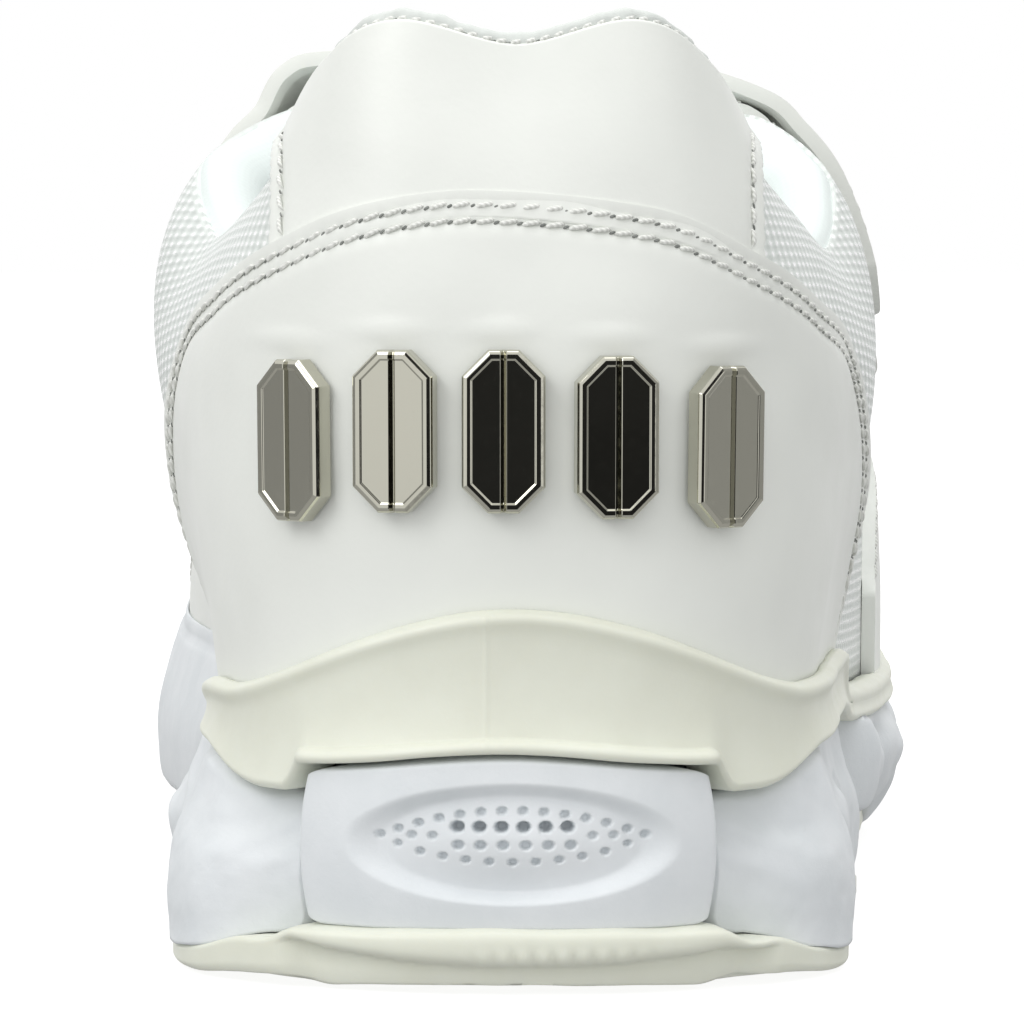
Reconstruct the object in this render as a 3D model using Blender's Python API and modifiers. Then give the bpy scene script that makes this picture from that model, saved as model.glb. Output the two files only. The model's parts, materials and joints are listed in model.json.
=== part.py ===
"""Right-foot cheer trainer: a mesh upper with leather panels, two hook-and-loop straps and a podded sole.

Working frame while modelling: millimetres, x to the lateral side, y from the back of the heel
towards the toe, z up from the floor. world() turns that into metres, and centre_on_origin() moves
the finished shoe so that the origin is the bottom centre of its bounding box.

Almost every upper piece is a panel on one surface, the last. A point on the last is (u, v): u runs
round the shoe's outline from the heel (0) to the toe (TOE), positive on the lateral side and
negative on the medial side, and v runs from the sole (0) up to the collar, throat or ridge (1).
"""

import math

import bmesh
import bpy
from mathutils import Matrix, Vector

# ---------------------------------------------------------------- driving dimensions, millimetres
OUTSOLE_THICKNESS = 4.4
GAP = 0.4                 # clearance between separate pieces
SHELL_THICKNESS = 1.2     # mesh upper
PANEL_THICKNESS = 1.4     # leather panels stitched on the mesh
STRAP_THICKNESS = 1.6
CUP_WALL = 2.0            # wall of the rubber cup that holds the upper
FLOOR_THICKNESS = 2.6     # floor of that cup
CUP_FLARE = 0.6           # how much further out the wall stands at its lower edge
TONGUE_THICKNESS = 5.0
STRAP_OPEN_GAP = 1.4      # between a strap's end and its anchor, on the fold line

# Offsets of the layers on the last, measured to the inner face of each layer.
PANEL_OFFSET = 0.45
PAD_OFFSET = 0.5
HOOK_OFFSET = 2.0
STRAP_OFFSET = 3.1
STRAP_TOP_OFFSET = 2.6      # near the throat, where only the facing is below
CUP_OFFSET = 2.3

TOE = 14.0                # u of the toe tip
RIDGE_START = 10          # from this row on, both sides meet on the ridge over the toes

# Rows of the last, heel to toe: outline (x, y), top edge (x, y, z), roundness, bulge.
HEEL_ROW = (0.0, 7.0, 0.0, 12.0, 98.0, 0.0, 3.2)
LATERAL_ROWS = [
    (14.0, 9.2, 12.0, 13.0, 100.5, 0.0, 3.2),
    (24.0, 17.0, 18.6, 19.0, 96.3, 0.0, 3.6),
    (29.3, 30.0, 23.9, 30.0, 88.0, 0.05, 4.4),
    (31.2, 47.0, 29.6, 46.0, 81.5, 0.1, 5.0),
    (33.0, 66.0, 34.0, 66.0, 77.5, 0.2, 6.4),
    (36.0, 88.0, 35.0, 87.0, 85.8, 0.4, 5.2),
    (39.5, 110.0, 25.5, 109.0, 92.0, 0.7, 3.2),
    (42.5, 134.0, 18.5, 133.0, 86.0, 0.9, 1.8),
    (44.6, 158.0, 15.0, 159.0, 75.5, 1.0, 1.4),
    (44.6, 182.0, -0.5, 176.0, 69.0, 1.0, 0.8),
    (41.6, 206.0, -2.0, 202.0, 59.5, 1.0, 0.4),
    (33.5, 230.0, -3.5, 225.0, 52.0, 1.0, 0.0),
    (18.0, 248.0, -5.0, 240.0, 46.0, 1.0, 0.0),
]
TOE_ROW = (-5.0, 255.5, -5.5, 247.0, 40.5, 1.0, 0.0)
MEDIAL_ROWS = [
    (-14.0, 9.2, -12.0, 13.0, 100.5, 0.0, 3.2),
    (-24.0, 17.0, -18.6, 19.0, 96.3, 0.0, 3.6),
    (-29.3, 30.0, -23.9, 30.0, 88.0, 0.05, 4.6),
    (-30.6, 47.0, -29.4, 46.0, 81.5, 0.1, 5.6),
    (-30.5, 66.0, -33.4, 66.0, 79.0, 0.2, 8.4),
    (-30.0, 88.0, -35.8, 87.0, 87.0, 0.4, 9.2),
    (-30.5, 110.0, -23.5, 109.0, 93.0, 0.7, 8.2),
    (-33.0, 135.0, -17.5, 133.0, 86.0, 0.9, 6.0),
    (-38.4, 160.0, -15.0, 159.0, 75.5, 1.0, 3.4),
    (-42.6, 184.0, -0.5, 176.0, 69.0, 1.0, 1.4),
    (-42.8, 208.0, -2.0, 202.0, 59.5, 1.0, 0.6),
    (-37.6, 231.0, -3.5, 225.0, 52.0, 1.0, 0.0),
    (-25.0, 248.0, -5.0, 240.0, 46.0, 1.0, 0.0),
]

# Height curves along the shoe, (y, z).
FEATHER_LINE = [(0, 27.0), (50, 26.6), (85, 23.6), (120, 21.4), (160, 20.0), (195, 20.6), (230, 24.0), (262, 29.0)]
THROAT_CENTRE = [(92, 97.5), (110, 96.3), (134, 89.5), (158, 79.0), (176, 69.0), (192, 62.5)]

BADGE_PLACES = [(-22.4, 57.2), (-12.2, 58.4), (-1.2, 58.4), (10.2, 57.8), (21.2, 56.6)]   # x, z

MATERIALS = {                       # colour, roughness, metallic
    "white_mesh": ((0.84, 0.87, 0.85), 0.7, 0.0),
    "white_leather": ((0.86, 0.87, 0.82), 0.45, 0.0),
    "white_foam": ((0.82, 0.86, 0.90), 0.6, 0.0),
    "cream_rubber": ((0.80, 0.80, 0.70), 0.5, 0.0),
    "lining_fabric": ((0.88, 0.92, 0.90), 0.85, 0.0),
    "stiffener_board": ((0.75, 0.72, 0.62), 0.7, 0.0),
    "hook_and_loop": ((0.80, 0.80, 0.78), 0.95, 0.0),
    "polished_chrome": ((0.72, 0.71, 0.66), 0.08, 1.0),
}


# ---------------------------------------------------------------- scene helpers
def clear_scene():
    for obj in list(bpy.data.objects):
        bpy.data.objects.remove(obj)


def new_collection(name):
    collection = bpy.data.collections.new(name)
    bpy.context.scene.collection.children.link(collection)
    return collection


def make_material(name, colour, roughness, metallic):
    material = bpy.data.materials.new(name)
    material.use_nodes = True
    shader = material.node_tree.nodes["Principled BSDF"]
    shader.inputs["Base Color"].default_value = (*colour, 1.0)
    shader.inputs["Roughness"].default_value = roughness
    shader.inputs["Metallic"].default_value = metallic
    material.diffuse_color = (*colour, 1.0)
    return material


def world(point):
    """Working millimetres to metres."""
    return Vector(point) * 0.001


def finish_mesh(name, bm, material_name):
    """Turns a bmesh in metres into a named, smooth-shaded object in the shoe's collection."""
    bmesh.ops.recalc_face_normals(bm, faces=bm.faces)
    if bm.calc_volume(signed=True) < 0:
        bmesh.ops.reverse_faces(bm, faces=bm.faces)
    mesh = bpy.data.meshes.new(name)
    bm.to_mesh(mesh)
    bm.free()
    mesh.shade_smooth()
    mesh.set_sharp_from_angle(angle=math.radians(40))
    mesh.materials.append(bpy.data.materials[material_name])
    obj = bpy.data.objects.new(name, mesh)
    bpy.data.collections["cheer_shoe"].objects.link(obj)
    return obj


def add_solidify(obj, thickness, offset):
    modifier = obj.modifiers.new("thickness", "SOLIDIFY")
    modifier.thickness = thickness * 0.001
    modifier.offset = offset
    return modifier


# ---------------------------------------------------------------- curves and the last
def catmull_rom(a, b, c, d, t):
    """The point at share t between b and c of a smooth curve through a, b, c and d."""
    return tuple(
        0.5 * (2 * q + (r - p) * t + (2 * p - 5 * q + 4 * r - s) * t * t + (3 * q - p - 3 * r + s) * t ** 3)
        for p, q, r, s in zip(a, b, c, d)
    )


def curve_at(points, y):
    """The height at y of a smooth curve through (y, z) points, held level past its ends."""
    if y <= points[0][0]:
        return points[0][1]
    for i in range(len(points) - 1):
        (y0, z0), (y1, z1) = points[i], points[i + 1]
        if y <= y1:
            before = points[i - 1] if i else (2 * y0 - y1, z0)
            after = points[i + 2] if i + 2 < len(points) else (2 * y1 - y0, z1)
            slope0 = (z1 - before[1]) / (y1 - before[0])
            slope1 = (after[1] - z0) / (after[0] - y0)
            t, h = (y - y0) / (y1 - y0), y1 - y0
            return (
                (2 * t ** 3 - 3 * t * t + 1) * z0 + (t ** 3 - 2 * t * t + t) * h * slope0
                + (3 * t * t - 2 * t ** 3) * z1 + (t ** 3 - t * t) * h * slope1
            )
    return points[-1][1]


def smoothstep(low, high, x):
    t = max(0.0, min(1.0, (x - low) / (high - low)))
    return t * t * (3 - 2 * t)


def feather(y):
    """Height of the sole's top, where the upper meets it."""
    return curve_at(FEATHER_LINE, y)


def ground(y):
    """Underside of the outsole: a short heel bevel, flat, then the toe spring."""
    heel_bevel = 2.6 * max(0.0, 1 - y / 20.0) ** 2
    toe_spring = 9.0 * max(0.0, (y - 190.0) / 70.0) ** 2
    return heel_bevel + toe_spring


ROW_RING = [HEEL_ROW] + LATERAL_ROWS + [TOE_ROW] + MEDIAL_ROWS[::-1]


def row_at(u):
    """The last's row at u, smooth round the ring of rows. Top edges meet exactly on the ridge."""
    side = -1 if u < 0 else 1
    place = min(abs(u), TOE)
    index = min(int(place), int(TOE) - 1)
    rows = [ROW_RING[(side * (index + k)) % len(ROW_RING)] for k in (-1, 0, 1, 2)]
    row = catmull_rom(*rows, place - index)
    if index >= RIDGE_START:
        if index == RIDGE_START:
            rows[0] = tuple(2 * q - r for q, r in zip(rows[1], rows[2]))
        if index == int(TOE) - 1:
            rows[3] = tuple(2 * r - q for q, r in zip(rows[1], rows[2]))
        ridge = catmull_rom(*rows, place - index)
        row = row[:2] + ridge[2:5] + row[5:]
    return row


def outline(u, out=0.0):
    """A point of the shoe's plan outline, moved outwards by out."""
    step = 0.02
    x0, y0 = row_at(u - step)[:2]
    x1, y1 = row_at(u + step)[:2]
    if abs(u) > TOE - step:
        (x0, y0), (x1, y1) = row_at(TOE - step)[:2], row_at(step - TOE)[:2]
    x, y = row_at(u)[:2]
    length = math.hypot(x1 - x0, y1 - y0)
    return x + out * (y1 - y0) / length, y - out * (x1 - x0) / length


def last_point(u, v):
    """A point of the last's surface, in working millimetres."""
    _, _, rx, ry, rz, roundness, bulge = row_at(u)
    px, py = outline(u, bulge * math.sin(math.pi * max(0.0, v) ** 1.3))
    angle = max(0.0, min(1.0, v)) * math.pi / 2
    straight_in, round_in = max(0.0, v) ** 1.6, 1 - max(0.0, math.cos(angle)) ** 0.8
    straight_up, round_up = v, math.sin(angle) ** 0.8
    inward = straight_in + (round_in - straight_in) * roundness
    upward = straight_up + (round_up - straight_up) * roundness
    bottom = feather(row_at(u)[1])
    ox, oy = row_at(u)[:2]
    return Vector((px + (rx - ox) * inward, py + (ry - oy) * inward, bottom + (rz - bottom) * upward))


def last_normal(u, v):
    """The outward direction of the last's surface."""
    du, dv = 0.05, 0.02
    u = max(du - TOE, min(TOE - du, u))
    v = max(dv, min(1 - 2 * dv, v))
    along = last_point(u + du, v) - last_point(u - du, v)
    up = last_point(u, v + dv) - last_point(u, v - dv)
    return along.cross(up).normalized()


def on_last(u, v, offset=0.0):
    return last_point(u, v) + last_normal(u, v) * offset


def v_at_height(u, z):
    """The v whose height on the last is z."""
    low, high = 0.0, 1.0
    for _ in range(24):
        middle = (low + high) / 2
        if last_point(u, middle).z < z:
            low = middle
        else:
            high = middle
    return (low + high) / 2


def wall_point(u, z, offset):
    """A point beside the last at height z: on the last above the feather line, on its outline below."""
    if z > feather(row_at(u)[1]):
        point = on_last(u, v_at_height(u, z), 0.0)
        normal = last_normal(u, v_at_height(u, z))
        flat = Vector((normal.x, normal.y, 0))
        out = offset / max(0.5, flat.length)
        flat.normalize()
        return Vector((point.x + flat.x * out, point.y + flat.y * out, z))
    x, y = outline(u, offset)
    return Vector((x, y, z))


# ---------------------------------------------------------------- builders
def mapped_grid(name, material, columns, rows, place):
    """A flat grid whose points are moved by place(s, t), with s and t from 0 to 1, in working millimetres."""
    bm = bmesh.new()
    bmesh.ops.create_grid(bm, x_segments=columns, y_segments=rows, size=0.5)
    for vert in bm.verts:
        vert.co = world(place(vert.co.x + 0.5, vert.co.y + 0.5))
    bmesh.ops.remove_doubles(bm, verts=bm.verts, dist=1e-6)
    return finish_mesh(name, bm, material)


def panel(name, material, u_ends, low, high, offset, thickness, columns, rows):
    """A panel on the last between two u, and between the v edges low(s) and high(s), as a thin solid.

    low and high are functions of s, the share of the way along, and give v. The offset is that of
    the inner face, and may be a function of v.
    """
    def place(s, t):
        u = u_ends[0] + (u_ends[1] - u_ends[0]) * s
        v = low(s) + (high(s) - low(s)) * t
        lift = offset(v) if callable(offset) else offset
        return on_last(u, v, lift)

    obj = mapped_grid(name, material, columns, rows, place)
    orient_outwards(obj)
    add_solidify(obj, thickness, 1.0)
    return obj


def orient_outwards(obj):
    """Turns an open panel's faces away from the shoe's inside, so that Solidify grows outwards."""
    bm = bmesh.new()
    bm.from_mesh(obj.data)
    total = 0.0
    for face in bm.faces:
        centre = face.calc_center_median()
        spine = Vector((0.0, max(0.045, min(0.225, centre.y)), 0.045))
        total += face.normal.dot(centre - spine) * face.calc_area()
    if total < 0:
        bmesh.ops.reverse_faces(bm, faces=bm.faces)
    bm.to_mesh(obj.data)
    bm.free()


def loft(name, material, sections):
    """A solid skinned over closed sections with equal numbers of points, capped at both ends."""
    bm = bmesh.new()
    rings = [[bm.verts.new(world(point)) for point in section] for section in sections]
    for one, two in zip(rings, rings[1:]):
        for i in range(len(one)):
            j = (i + 1) % len(one)
            bm.faces.new((one[i], one[j], two[j], two[i]))
    bm.faces.new(rings[0])
    bm.faces.new(rings[-1])
    bmesh.ops.remove_doubles(bm, verts=bm.verts, dist=2e-6)
    bmesh.ops.dissolve_degenerate(bm, edges=bm.edges, dist=1e-6)
    drop_folded_faces(bm)
    return finish_mesh(name, bm, material)


def sole_loft(name, material, stations, levels):
    """A solid lofted along the shoe through closed sections.

    stations are values of u, heel to toe. levels are functions of u that give a point of the
    section on one side, listed from the section's underside round its wall to its top.
    """
    return loft(name, material, [
        [level(u) for level in levels] + [level(-u) for level in levels[::-1]] for u in stations
    ])


def drop_folded_faces(bm):
    """Removes the end faces that closed up where a section shrinks to a line."""
    folded = [face for face in bm.faces if face.calc_area() < 1e-10]
    bmesh.ops.delete(bm, geom=folded, context="FACES_ONLY")


def block_on_outline(name, material, u_ends, low, high, out, depth, columns, rows):
    """A foam block under the cup: a shaped outer face along the outline and a plain inner one."""
    sections = []
    for s in steps(0.0, 1.0, columns + 1):
        u = u_ends[0] + (u_ends[1] - u_ends[0]) * s
        bottom, top = low(u), high(u)
        shares = steps(0.0, 1.0, rows + 1)
        outer = [Vector((*outline(u, out(s, t)), bottom + (top - bottom) * t)) for t in shares]
        inner_top = min(top, feather(outline_y(u)) - FLOOR_THICKNESS - GAP)
        inner = [Vector((*outline(u, -depth), z)) for z in (inner_top, bottom)]
        sections.append(outer + inner)
    return loft(name, material, sections)


def steps(first, last, count):
    return [first + (last - first) * i / (count - 1) for i in range(count)]


def level(offset, height):
    """A level of a sole section: the outline moved out by offset(u), at height(u)."""
    def at(u):
        x, y = outline(u, offset(u))
        return Vector((x, y, height(u)))
    return at


def outline_y(u):
    return row_at(u)[1]


# ---------------------------------------------------------------- the sole
def cup_top(u):
    """Top edge of the rubber cup: a wave round the heel, then a low band to the toe."""
    place = abs(u)
    y = outline_y(u)
    heel_wave = 30.8 + 9.3 * (1 - smoothstep(0.0, 2.6, place))
    band = feather(y) + 2.4
    toe_bumper = 3.5 * smoothstep(12.0, 14.0, place)
    return heel_wave + (band + toe_bumper - heel_wave) * smoothstep(4.8, 6.0, place)


def cup_bottom(u):
    """Lower edge of the cup's wall, above the capsule, the pods and the forefoot foam."""
    place = abs(u)
    lobe = smoothstep(1.38, 1.6, place) * (1 - smoothstep(1.75, 2.8, place))
    heel = 24.0 - 3.2 * lobe + 0.6 * smoothstep(2.6, 4.0, place)
    front = feather(outline_y(u)) - 4.4
    return heel + (front - heel) * smoothstep(4.6, 6.2, place)


def make_sole_cup():
    levels = [
        level(lambda u: -9.8, lambda u: feather(outline_y(u)) - FLOOR_THICKNESS),
        level(lambda u: 0.5, cup_bottom),
        level(lambda u: CUP_OFFSET + CUP_WALL + CUP_FLARE, cup_bottom),
        lambda u: wall_point(u, cup_top(u), CUP_OFFSET + CUP_WALL * 0.7),
        lambda u: wall_point(u, cup_top(u), CUP_OFFSET),
        level(lambda u: CUP_OFFSET - 0.1, lambda u: feather(outline_y(u)) - 0.1),
    ]
    sole_loft("sole_cup", "cream_rubber", steps(0.0, TOE, 43), levels)


def pod_top(u):
    """Top of a heel pod, a little lower beside the cup's lobes, which curve most."""
    return cup_bottom(u) - GAP - 0.5 * (1 - smoothstep(2.8, 3.4, abs(u)))


def outsole_top(y):
    return ground(y) + OUTSOLE_THICKNESS


CAPSULE_END = 1.42        # u where the rear capsule ends on each side
POD_START = 1.52
POD_END = 5.5


def make_heel_capsule():
    """The rear foam capsule, crowned outwards and rounded at its ends."""
    def swell(s, t):
        ends = (2 * s - 1) ** 4
        return 5.6 - 2.2 * ends - 1.2 * (2 * t - 1) ** 2

    def low(u):
        return 7.5 + 1.2 * (abs(u) / CAPSULE_END) ** 8

    def high(u):
        return 23.6 - 1.8 * (abs(u) / CAPSULE_END) ** 8

    block_on_outline(
        "heel_capsule", "white_foam", (-CAPSULE_END, CAPSULE_END), low, high, swell, 6.0, 16, 6
    )


def make_heel_pods():
    """The two side pods: waisted foam columns from the heel's corners to the arch."""
    def waisted(s, t):
        valley = 3.4 * (1 - smoothstep(0.0, 0.3, s))
        waist = 1.2 * math.sin(math.pi * t) * (1 - smoothstep(0.2, 0.7, s))
        return 6.2 - 1.2 * t - valley - waist

    for name, side in (("heel_pod_lateral", 1), ("heel_pod_medial", -1)):
        block_on_outline(
            name, "white_foam", (side * POD_START, side * POD_END),
            lambda u: outsole_top(outline_y(u)) + GAP, pod_top, waisted, 6.0, 16, 4,
        )


def make_midsole():
    """The full-length foam core: inside the pods at the heel, arched, then lobed at the forefoot."""
    def bottom(u):
        y = outline_y(u)
        arch = 4.4 * (smoothstep(50, 62, y) - smoothstep(140, 152, y))
        return outsole_top(y) + GAP + arch

    def lobes(u):
        """Two lobes on each side of the forefoot, with valleys between them."""
        place = abs(u)
        fade = smoothstep(6.6, 7.2, place) * (1 - smoothstep(10.8, 12.0, place))
        return 5.4 - 2.6 * fade * abs(math.cos(math.pi * (place - 7.2) / 1.8)) ** 3

    def inset(u):
        front = smoothstep(5.7, 6.5, abs(u))
        return -8.4 + (lobes(u) + 8.4) * front

    def top(u):
        heel = feather(outline_y(u)) - FLOOR_THICKNESS - GAP
        return heel + (cup_bottom(u) - GAP - heel) * smoothstep(5.2, 6.2, abs(u))

    levels = [
        level(lambda u: inset(u) - 1.5, bottom),
        level(inset, lambda u: bottom(u) + 3.0),
        level(inset, lambda u: top(u) - 4.0),
        level(lambda u: inset(u) - 1.2, top),
        level(lambda u: min(0.2, inset(u) - 1.4), top),
        level(lambda u: -10.2, lambda u: feather(outline_y(u)) - FLOOR_THICKNESS - GAP),
    ]
    sole_loft("midsole_foam", "white_foam", steps(0.0, TOE, 39), levels)


def make_outsoles():
    """The heel outsole with its raised rear lip, and the forefoot outsole."""
    def heel_top(u):
        plain = outsole_top(outline_y(u))
        return plain + (7.0 - plain) * (1 - smoothstep(1.25, 1.5, abs(u)))

    heel_levels = [
        level(lambda u: 3.2, lambda u: ground(outline_y(u))),
        level(lambda u: 4.8, lambda u: ground(outline_y(u)) + 1.6),
        level(lambda u: 4.8, heel_top),
        level(lambda u: 3.4, heel_top),
        level(lambda u: -6.6, lambda u: outsole_top(outline_y(u))),
    ]
    sole_loft("outsole_heel", "cream_rubber", steps(0.0, 5.7, 20), heel_levels)
    front_levels = [
        level(lambda u: 0.6, lambda u: ground(outline_y(u))),
        level(lambda u: 2.2, lambda u: ground(outline_y(u)) + 1.6),
        level(lambda u: 2.6, lambda u: outsole_top(outline_y(u))),
    ]
    sole_loft("outsole_forefoot", "cream_rubber", steps(7.9, TOE, 24), front_levels)


def make_shank():
    """The plastic arch plate between the foam core and the two outsoles."""
    bm = bmesh.new()
    bmesh.ops.create_cube(bm, size=1.0)
    bmesh.ops.scale(bm, vec=(34.0, 62.0, 2.6), verts=bm.verts)
    upright = [e for e in bm.edges if abs(e.verts[0].co.z - e.verts[1].co.z) > 1.0]
    bmesh.ops.bevel(bm, geom=upright, offset=8.0, segments=4, affect="EDGES", profile=0.5)
    shank_centre = Vector((1.5, 101.0, OUTSOLE_THICKNESS + GAP + 1.8))
    for vert in bm.verts:
        vert.co = world(vert.co + shank_centre)
    finish_mesh("arch_shank", bm, "cream_rubber")


def make_boards():
    """The lasting board on the cup's floor, and the removable insole on it."""
    board_top = 1.5
    sole_loft("lasting_board", "stiffener_board", steps(0.0, TOE, 33), [
        level(lambda u: -1.8, lambda u: feather(outline_y(u)) + 0.2),
        level(lambda u: -1.8, lambda u: feather(outline_y(u)) + board_top),
    ])
    sole_loft("insole", "lining_fabric", steps(0.0, TOE, 33), [
        level(lambda u: -5.6, lambda u: feather(outline_y(u)) + board_top + GAP),
        level(lambda u: -5.0, lambda u: feather(outline_y(u)) + board_top + GAP + 4.0),
        level(lambda u: -11.0, lambda u: feather(outline_y(u)) + board_top + GAP + 3.0),
    ])


# ---------------------------------------------------------------- the upper
def constant(value):
    return lambda s: value


def make_mesh_upper():
    """The bootee of mesh that everything else is sewn to, closed over the toes."""
    obj = mapped_grid(
        "mesh_upper", "white_mesh", 70, 9,
        lambda s, t: on_last(TOE * (2 * s - 1), t, 0.0) + Vector((0, 0, 0.15)),
    )
    orient_outwards(obj)
    add_solidify(obj, SHELL_THICKNESS, -1.0)


def make_heel_panels():
    counter_end = 5.3

    def counter_low(s):
        return 0.03

    def counter_high(s):
        return 0.04 + 0.72 * (1 - abs(2 * s - 1) ** 2.6) ** 0.8

    panel("heel_counter_panel", "white_leather", (-counter_end, counter_end), counter_low, counter_high,
          PANEL_OFFSET, PANEL_THICKNESS, 28, 6)

    def collar_low(s):
        u = (2 * s - 1) * 2.45
        share = (u / counter_end + 1) / 2
        return counter_high(share) + 0.02

    panel("collar_back_panel", "white_leather", (-2.45, 2.45), collar_low, constant(0.99),
          PANEL_OFFSET, PANEL_THICKNESS, 20, 4)
    panel("heel_stiffener", "stiffener_board", (-4.6, 4.6), constant(0.05),
          lambda s: 0.12 + 0.42 * (1 - (2 * s - 1) ** 4), -SHELL_THICKNESS - 1.6, 1.1, 22, 4)
    panel("collar_foam", "lining_fabric", (-6.9, 6.9), constant(0.62), constant(0.985),
          -SHELL_THICKNESS - 5.6, 5.0, 32, 3)
    panel("heel_lining", "lining_fabric", (-6.9, 6.9), constant(0.08), constant(0.985),
          lambda v: -SHELL_THICKNESS - 3.2 - 4.0 * smoothstep(0.48, 0.6, v), 0.7, 32, 7)


def make_toe_pieces():
    """Toe cap outside, stiffening puff inside. Both wrap the toe as one strip."""
    def round_toe(start, low, high, offset, thickness, name, material):
        def place(s, t):
            ring = start + (2 * TOE - 2 * start) * s
            u = ring if ring <= TOE else ring - 2 * TOE
            v = low + (high(s) - low) * t
            return on_last(u, v, offset)
        obj = mapped_grid(name, material, 20, 5, place)
        orient_outwards(obj)
        add_solidify(obj, thickness, 1.0)

    round_toe(10.6, 0.03, lambda s: 0.2 + 0.42 * math.sin(math.pi * s) ** 0.7,
              PANEL_OFFSET, PANEL_THICKNESS, "toe_cap", "white_leather")
    round_toe(11.4, 0.12, lambda s: 0.3 + 0.3 * math.sin(math.pi * s),
              -SHELL_THICKNESS - 1.5, 1.0, "toe_puff", "stiffener_board")


def make_side_panels():
    """Throat facings, side overlays and the loop patches, on both sides."""
    for side, word in ((1, "lateral"), (-1, "medial")):
        panel(f"throat_facing_{word}", "white_leather", (side * 6.75, side * 9.6),
              constant(0.74), constant(0.975), PANEL_OFFSET, PANEL_THICKNESS, 12, 3)
        panel(f"side_overlay_{word}", "white_leather", (side * 8.0, side * 10.4), constant(0.03),
              lambda s: 0.26 - 0.08 * s, PANEL_OFFSET, PANEL_THICKNESS, 12, 3)


# ---------------------------------------------------------------- tongue
TONGUE_FOLD_Y = 136.5
TONGUE_SWING_Y = 95.0


THROAT_EDGE = [(88, 34.0), (109, 24.3), (133, 18.0), (159, 15.0), (176, 12.0), (192, 10.0)]
THROAT_EDGE_HEIGHT = [(88, 84.0), (109, 92.0), (133, 86.3), (159, 75.5), (176, 68.5), (192, 61.5)]


def throat_half_width(y):
    """Half the width of the throat's opening at y."""
    return curve_at(THROAT_EDGE, y)


def tongue_point(y, across, depth):
    """A point of the tongue's outer face at y, across from -1 to 1, sunk by depth."""
    half = min(22.5, throat_half_width(y) - 2.8)
    crown = curve_at(THROAT_CENTRE, y)
    edge = curve_at(THROAT_EDGE_HEIGHT, y) - 0.4
    return Vector((across * half, y, crown + (edge - crown) * across ** 2 - depth))


def make_tongue():
    """The padded tongue: a fixed base under the lower strap, and a flap that folds forward."""
    def solid(name, y_ends, rows):
        def place(s, t):
            y = y_ends[0] + (y_ends[1] - y_ends[0]) * t
            return tongue_point(y, 2 * s - 1, 4.2 * smoothstep(146, 166, y))

        obj = mapped_grid(name, "lining_fabric", 6, rows, place)
        orient_outwards(obj)
        add_solidify(obj, TONGUE_THICKNESS, -1.0)
        return obj

    solid("tongue_base", (TONGUE_FOLD_Y + 0.6, 186.0), 8)
    flap = solid("tongue_flap", (TONGUE_SWING_Y, TONGUE_FOLD_Y - 0.6), 6)
    hinge = tongue_point(TONGUE_FOLD_Y, 0.0, 0.0)
    set_origin(flap, hinge)


def set_origin(obj, point):
    """Moves an object's origin to a point, with its shape left where it is."""
    shift = world(point)
    obj.data.transform(Matrix.Translation(-shift))
    obj.location = shift


# ---------------------------------------------------------------- straps
STRAP_TOP_CLEARANCE = 1.6     # strap's inner face over the tongue's crown
MEDIAL_TOP_V, LATERAL_TOP_V = 0.86, 0.93    # v where a strap leaves the upper's wall on either side
MEDIAL_ARCH = [(0.91, 0.72), (0.72, 0.95)]  # shares of the medial half width and of the rise to the top
LATERAL_SHOULDER, LATERAL_DROP = 0.62, 1.8  # the same share for the lateral shoulder, and its drop
STRAPS = {                    # name: u range, medial fold v, lateral end v, rise of the arch
    "instep": ((7.1, 8.2), 0.50, 0.44, 2.8),
    "forefoot": ((8.5, 9.45), 0.46, 0.40, 2.2),
}


def medial_offset(v):
    """A strap's distance from the last on the medial side: close, then over the throat's facing."""
    return 0.8 + (STRAP_TOP_OFFSET - 0.8) * smoothstep(0.54, 0.7, v)


def lateral_offset(v):
    """The same on the lateral side: over the hook and loop pads, then closer over the facing."""
    return STRAP_OFFSET - (STRAP_OFFSET - STRAP_TOP_OFFSET) * smoothstep(0.72, 0.86, v)


def strap_path(u, fold_v, end_v, rise):
    """Points of a strap's line at |u| = u, from its medial fold over the throat to its lateral end."""
    steps_up = [k / 5 for k in range(6)]
    medial_v = [fold_v + (MEDIAL_TOP_V - fold_v) * k for k in steps_up]
    medial = [on_last(-u, v, medial_offset(v)) for v in medial_v]
    lateral_v = [end_v + (LATERAL_TOP_V - end_v) * k for k in steps_up]
    lateral = [on_last(u, v, lateral_offset(v)) for v in lateral_v]
    y = (medial[-1].y + lateral[-1].y) / 2
    top = max(curve_at(THROAT_CENTRE, y) + STRAP_TOP_CLEARANCE, (medial[-1].z + lateral[-1].z) / 2 + rise)
    arch = [
        Vector((medial[-1].x * out, y, medial[-1].z + (top - medial[-1].z) * up))
        for out, up in MEDIAL_ARCH
    ]
    arch += [
        Vector((0, y, top)),
        Vector((lateral[-1].x * LATERAL_SHOULDER, y, top - LATERAL_DROP)),
    ]
    return medial + arch + lateral[::-1]


def along_path(points, share):
    """The point at a share of the way along a smooth curve through points."""
    place = share * (len(points) - 1)
    index = min(int(place), len(points) - 2)
    before = points[index - 1] if index else points[0] * 2 - points[1]
    after = points[index + 2] if index + 2 < len(points) else points[-1] * 2 - points[-2]
    return Vector(catmull_rom(before, points[index], points[index + 1], after, place - index))


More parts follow.
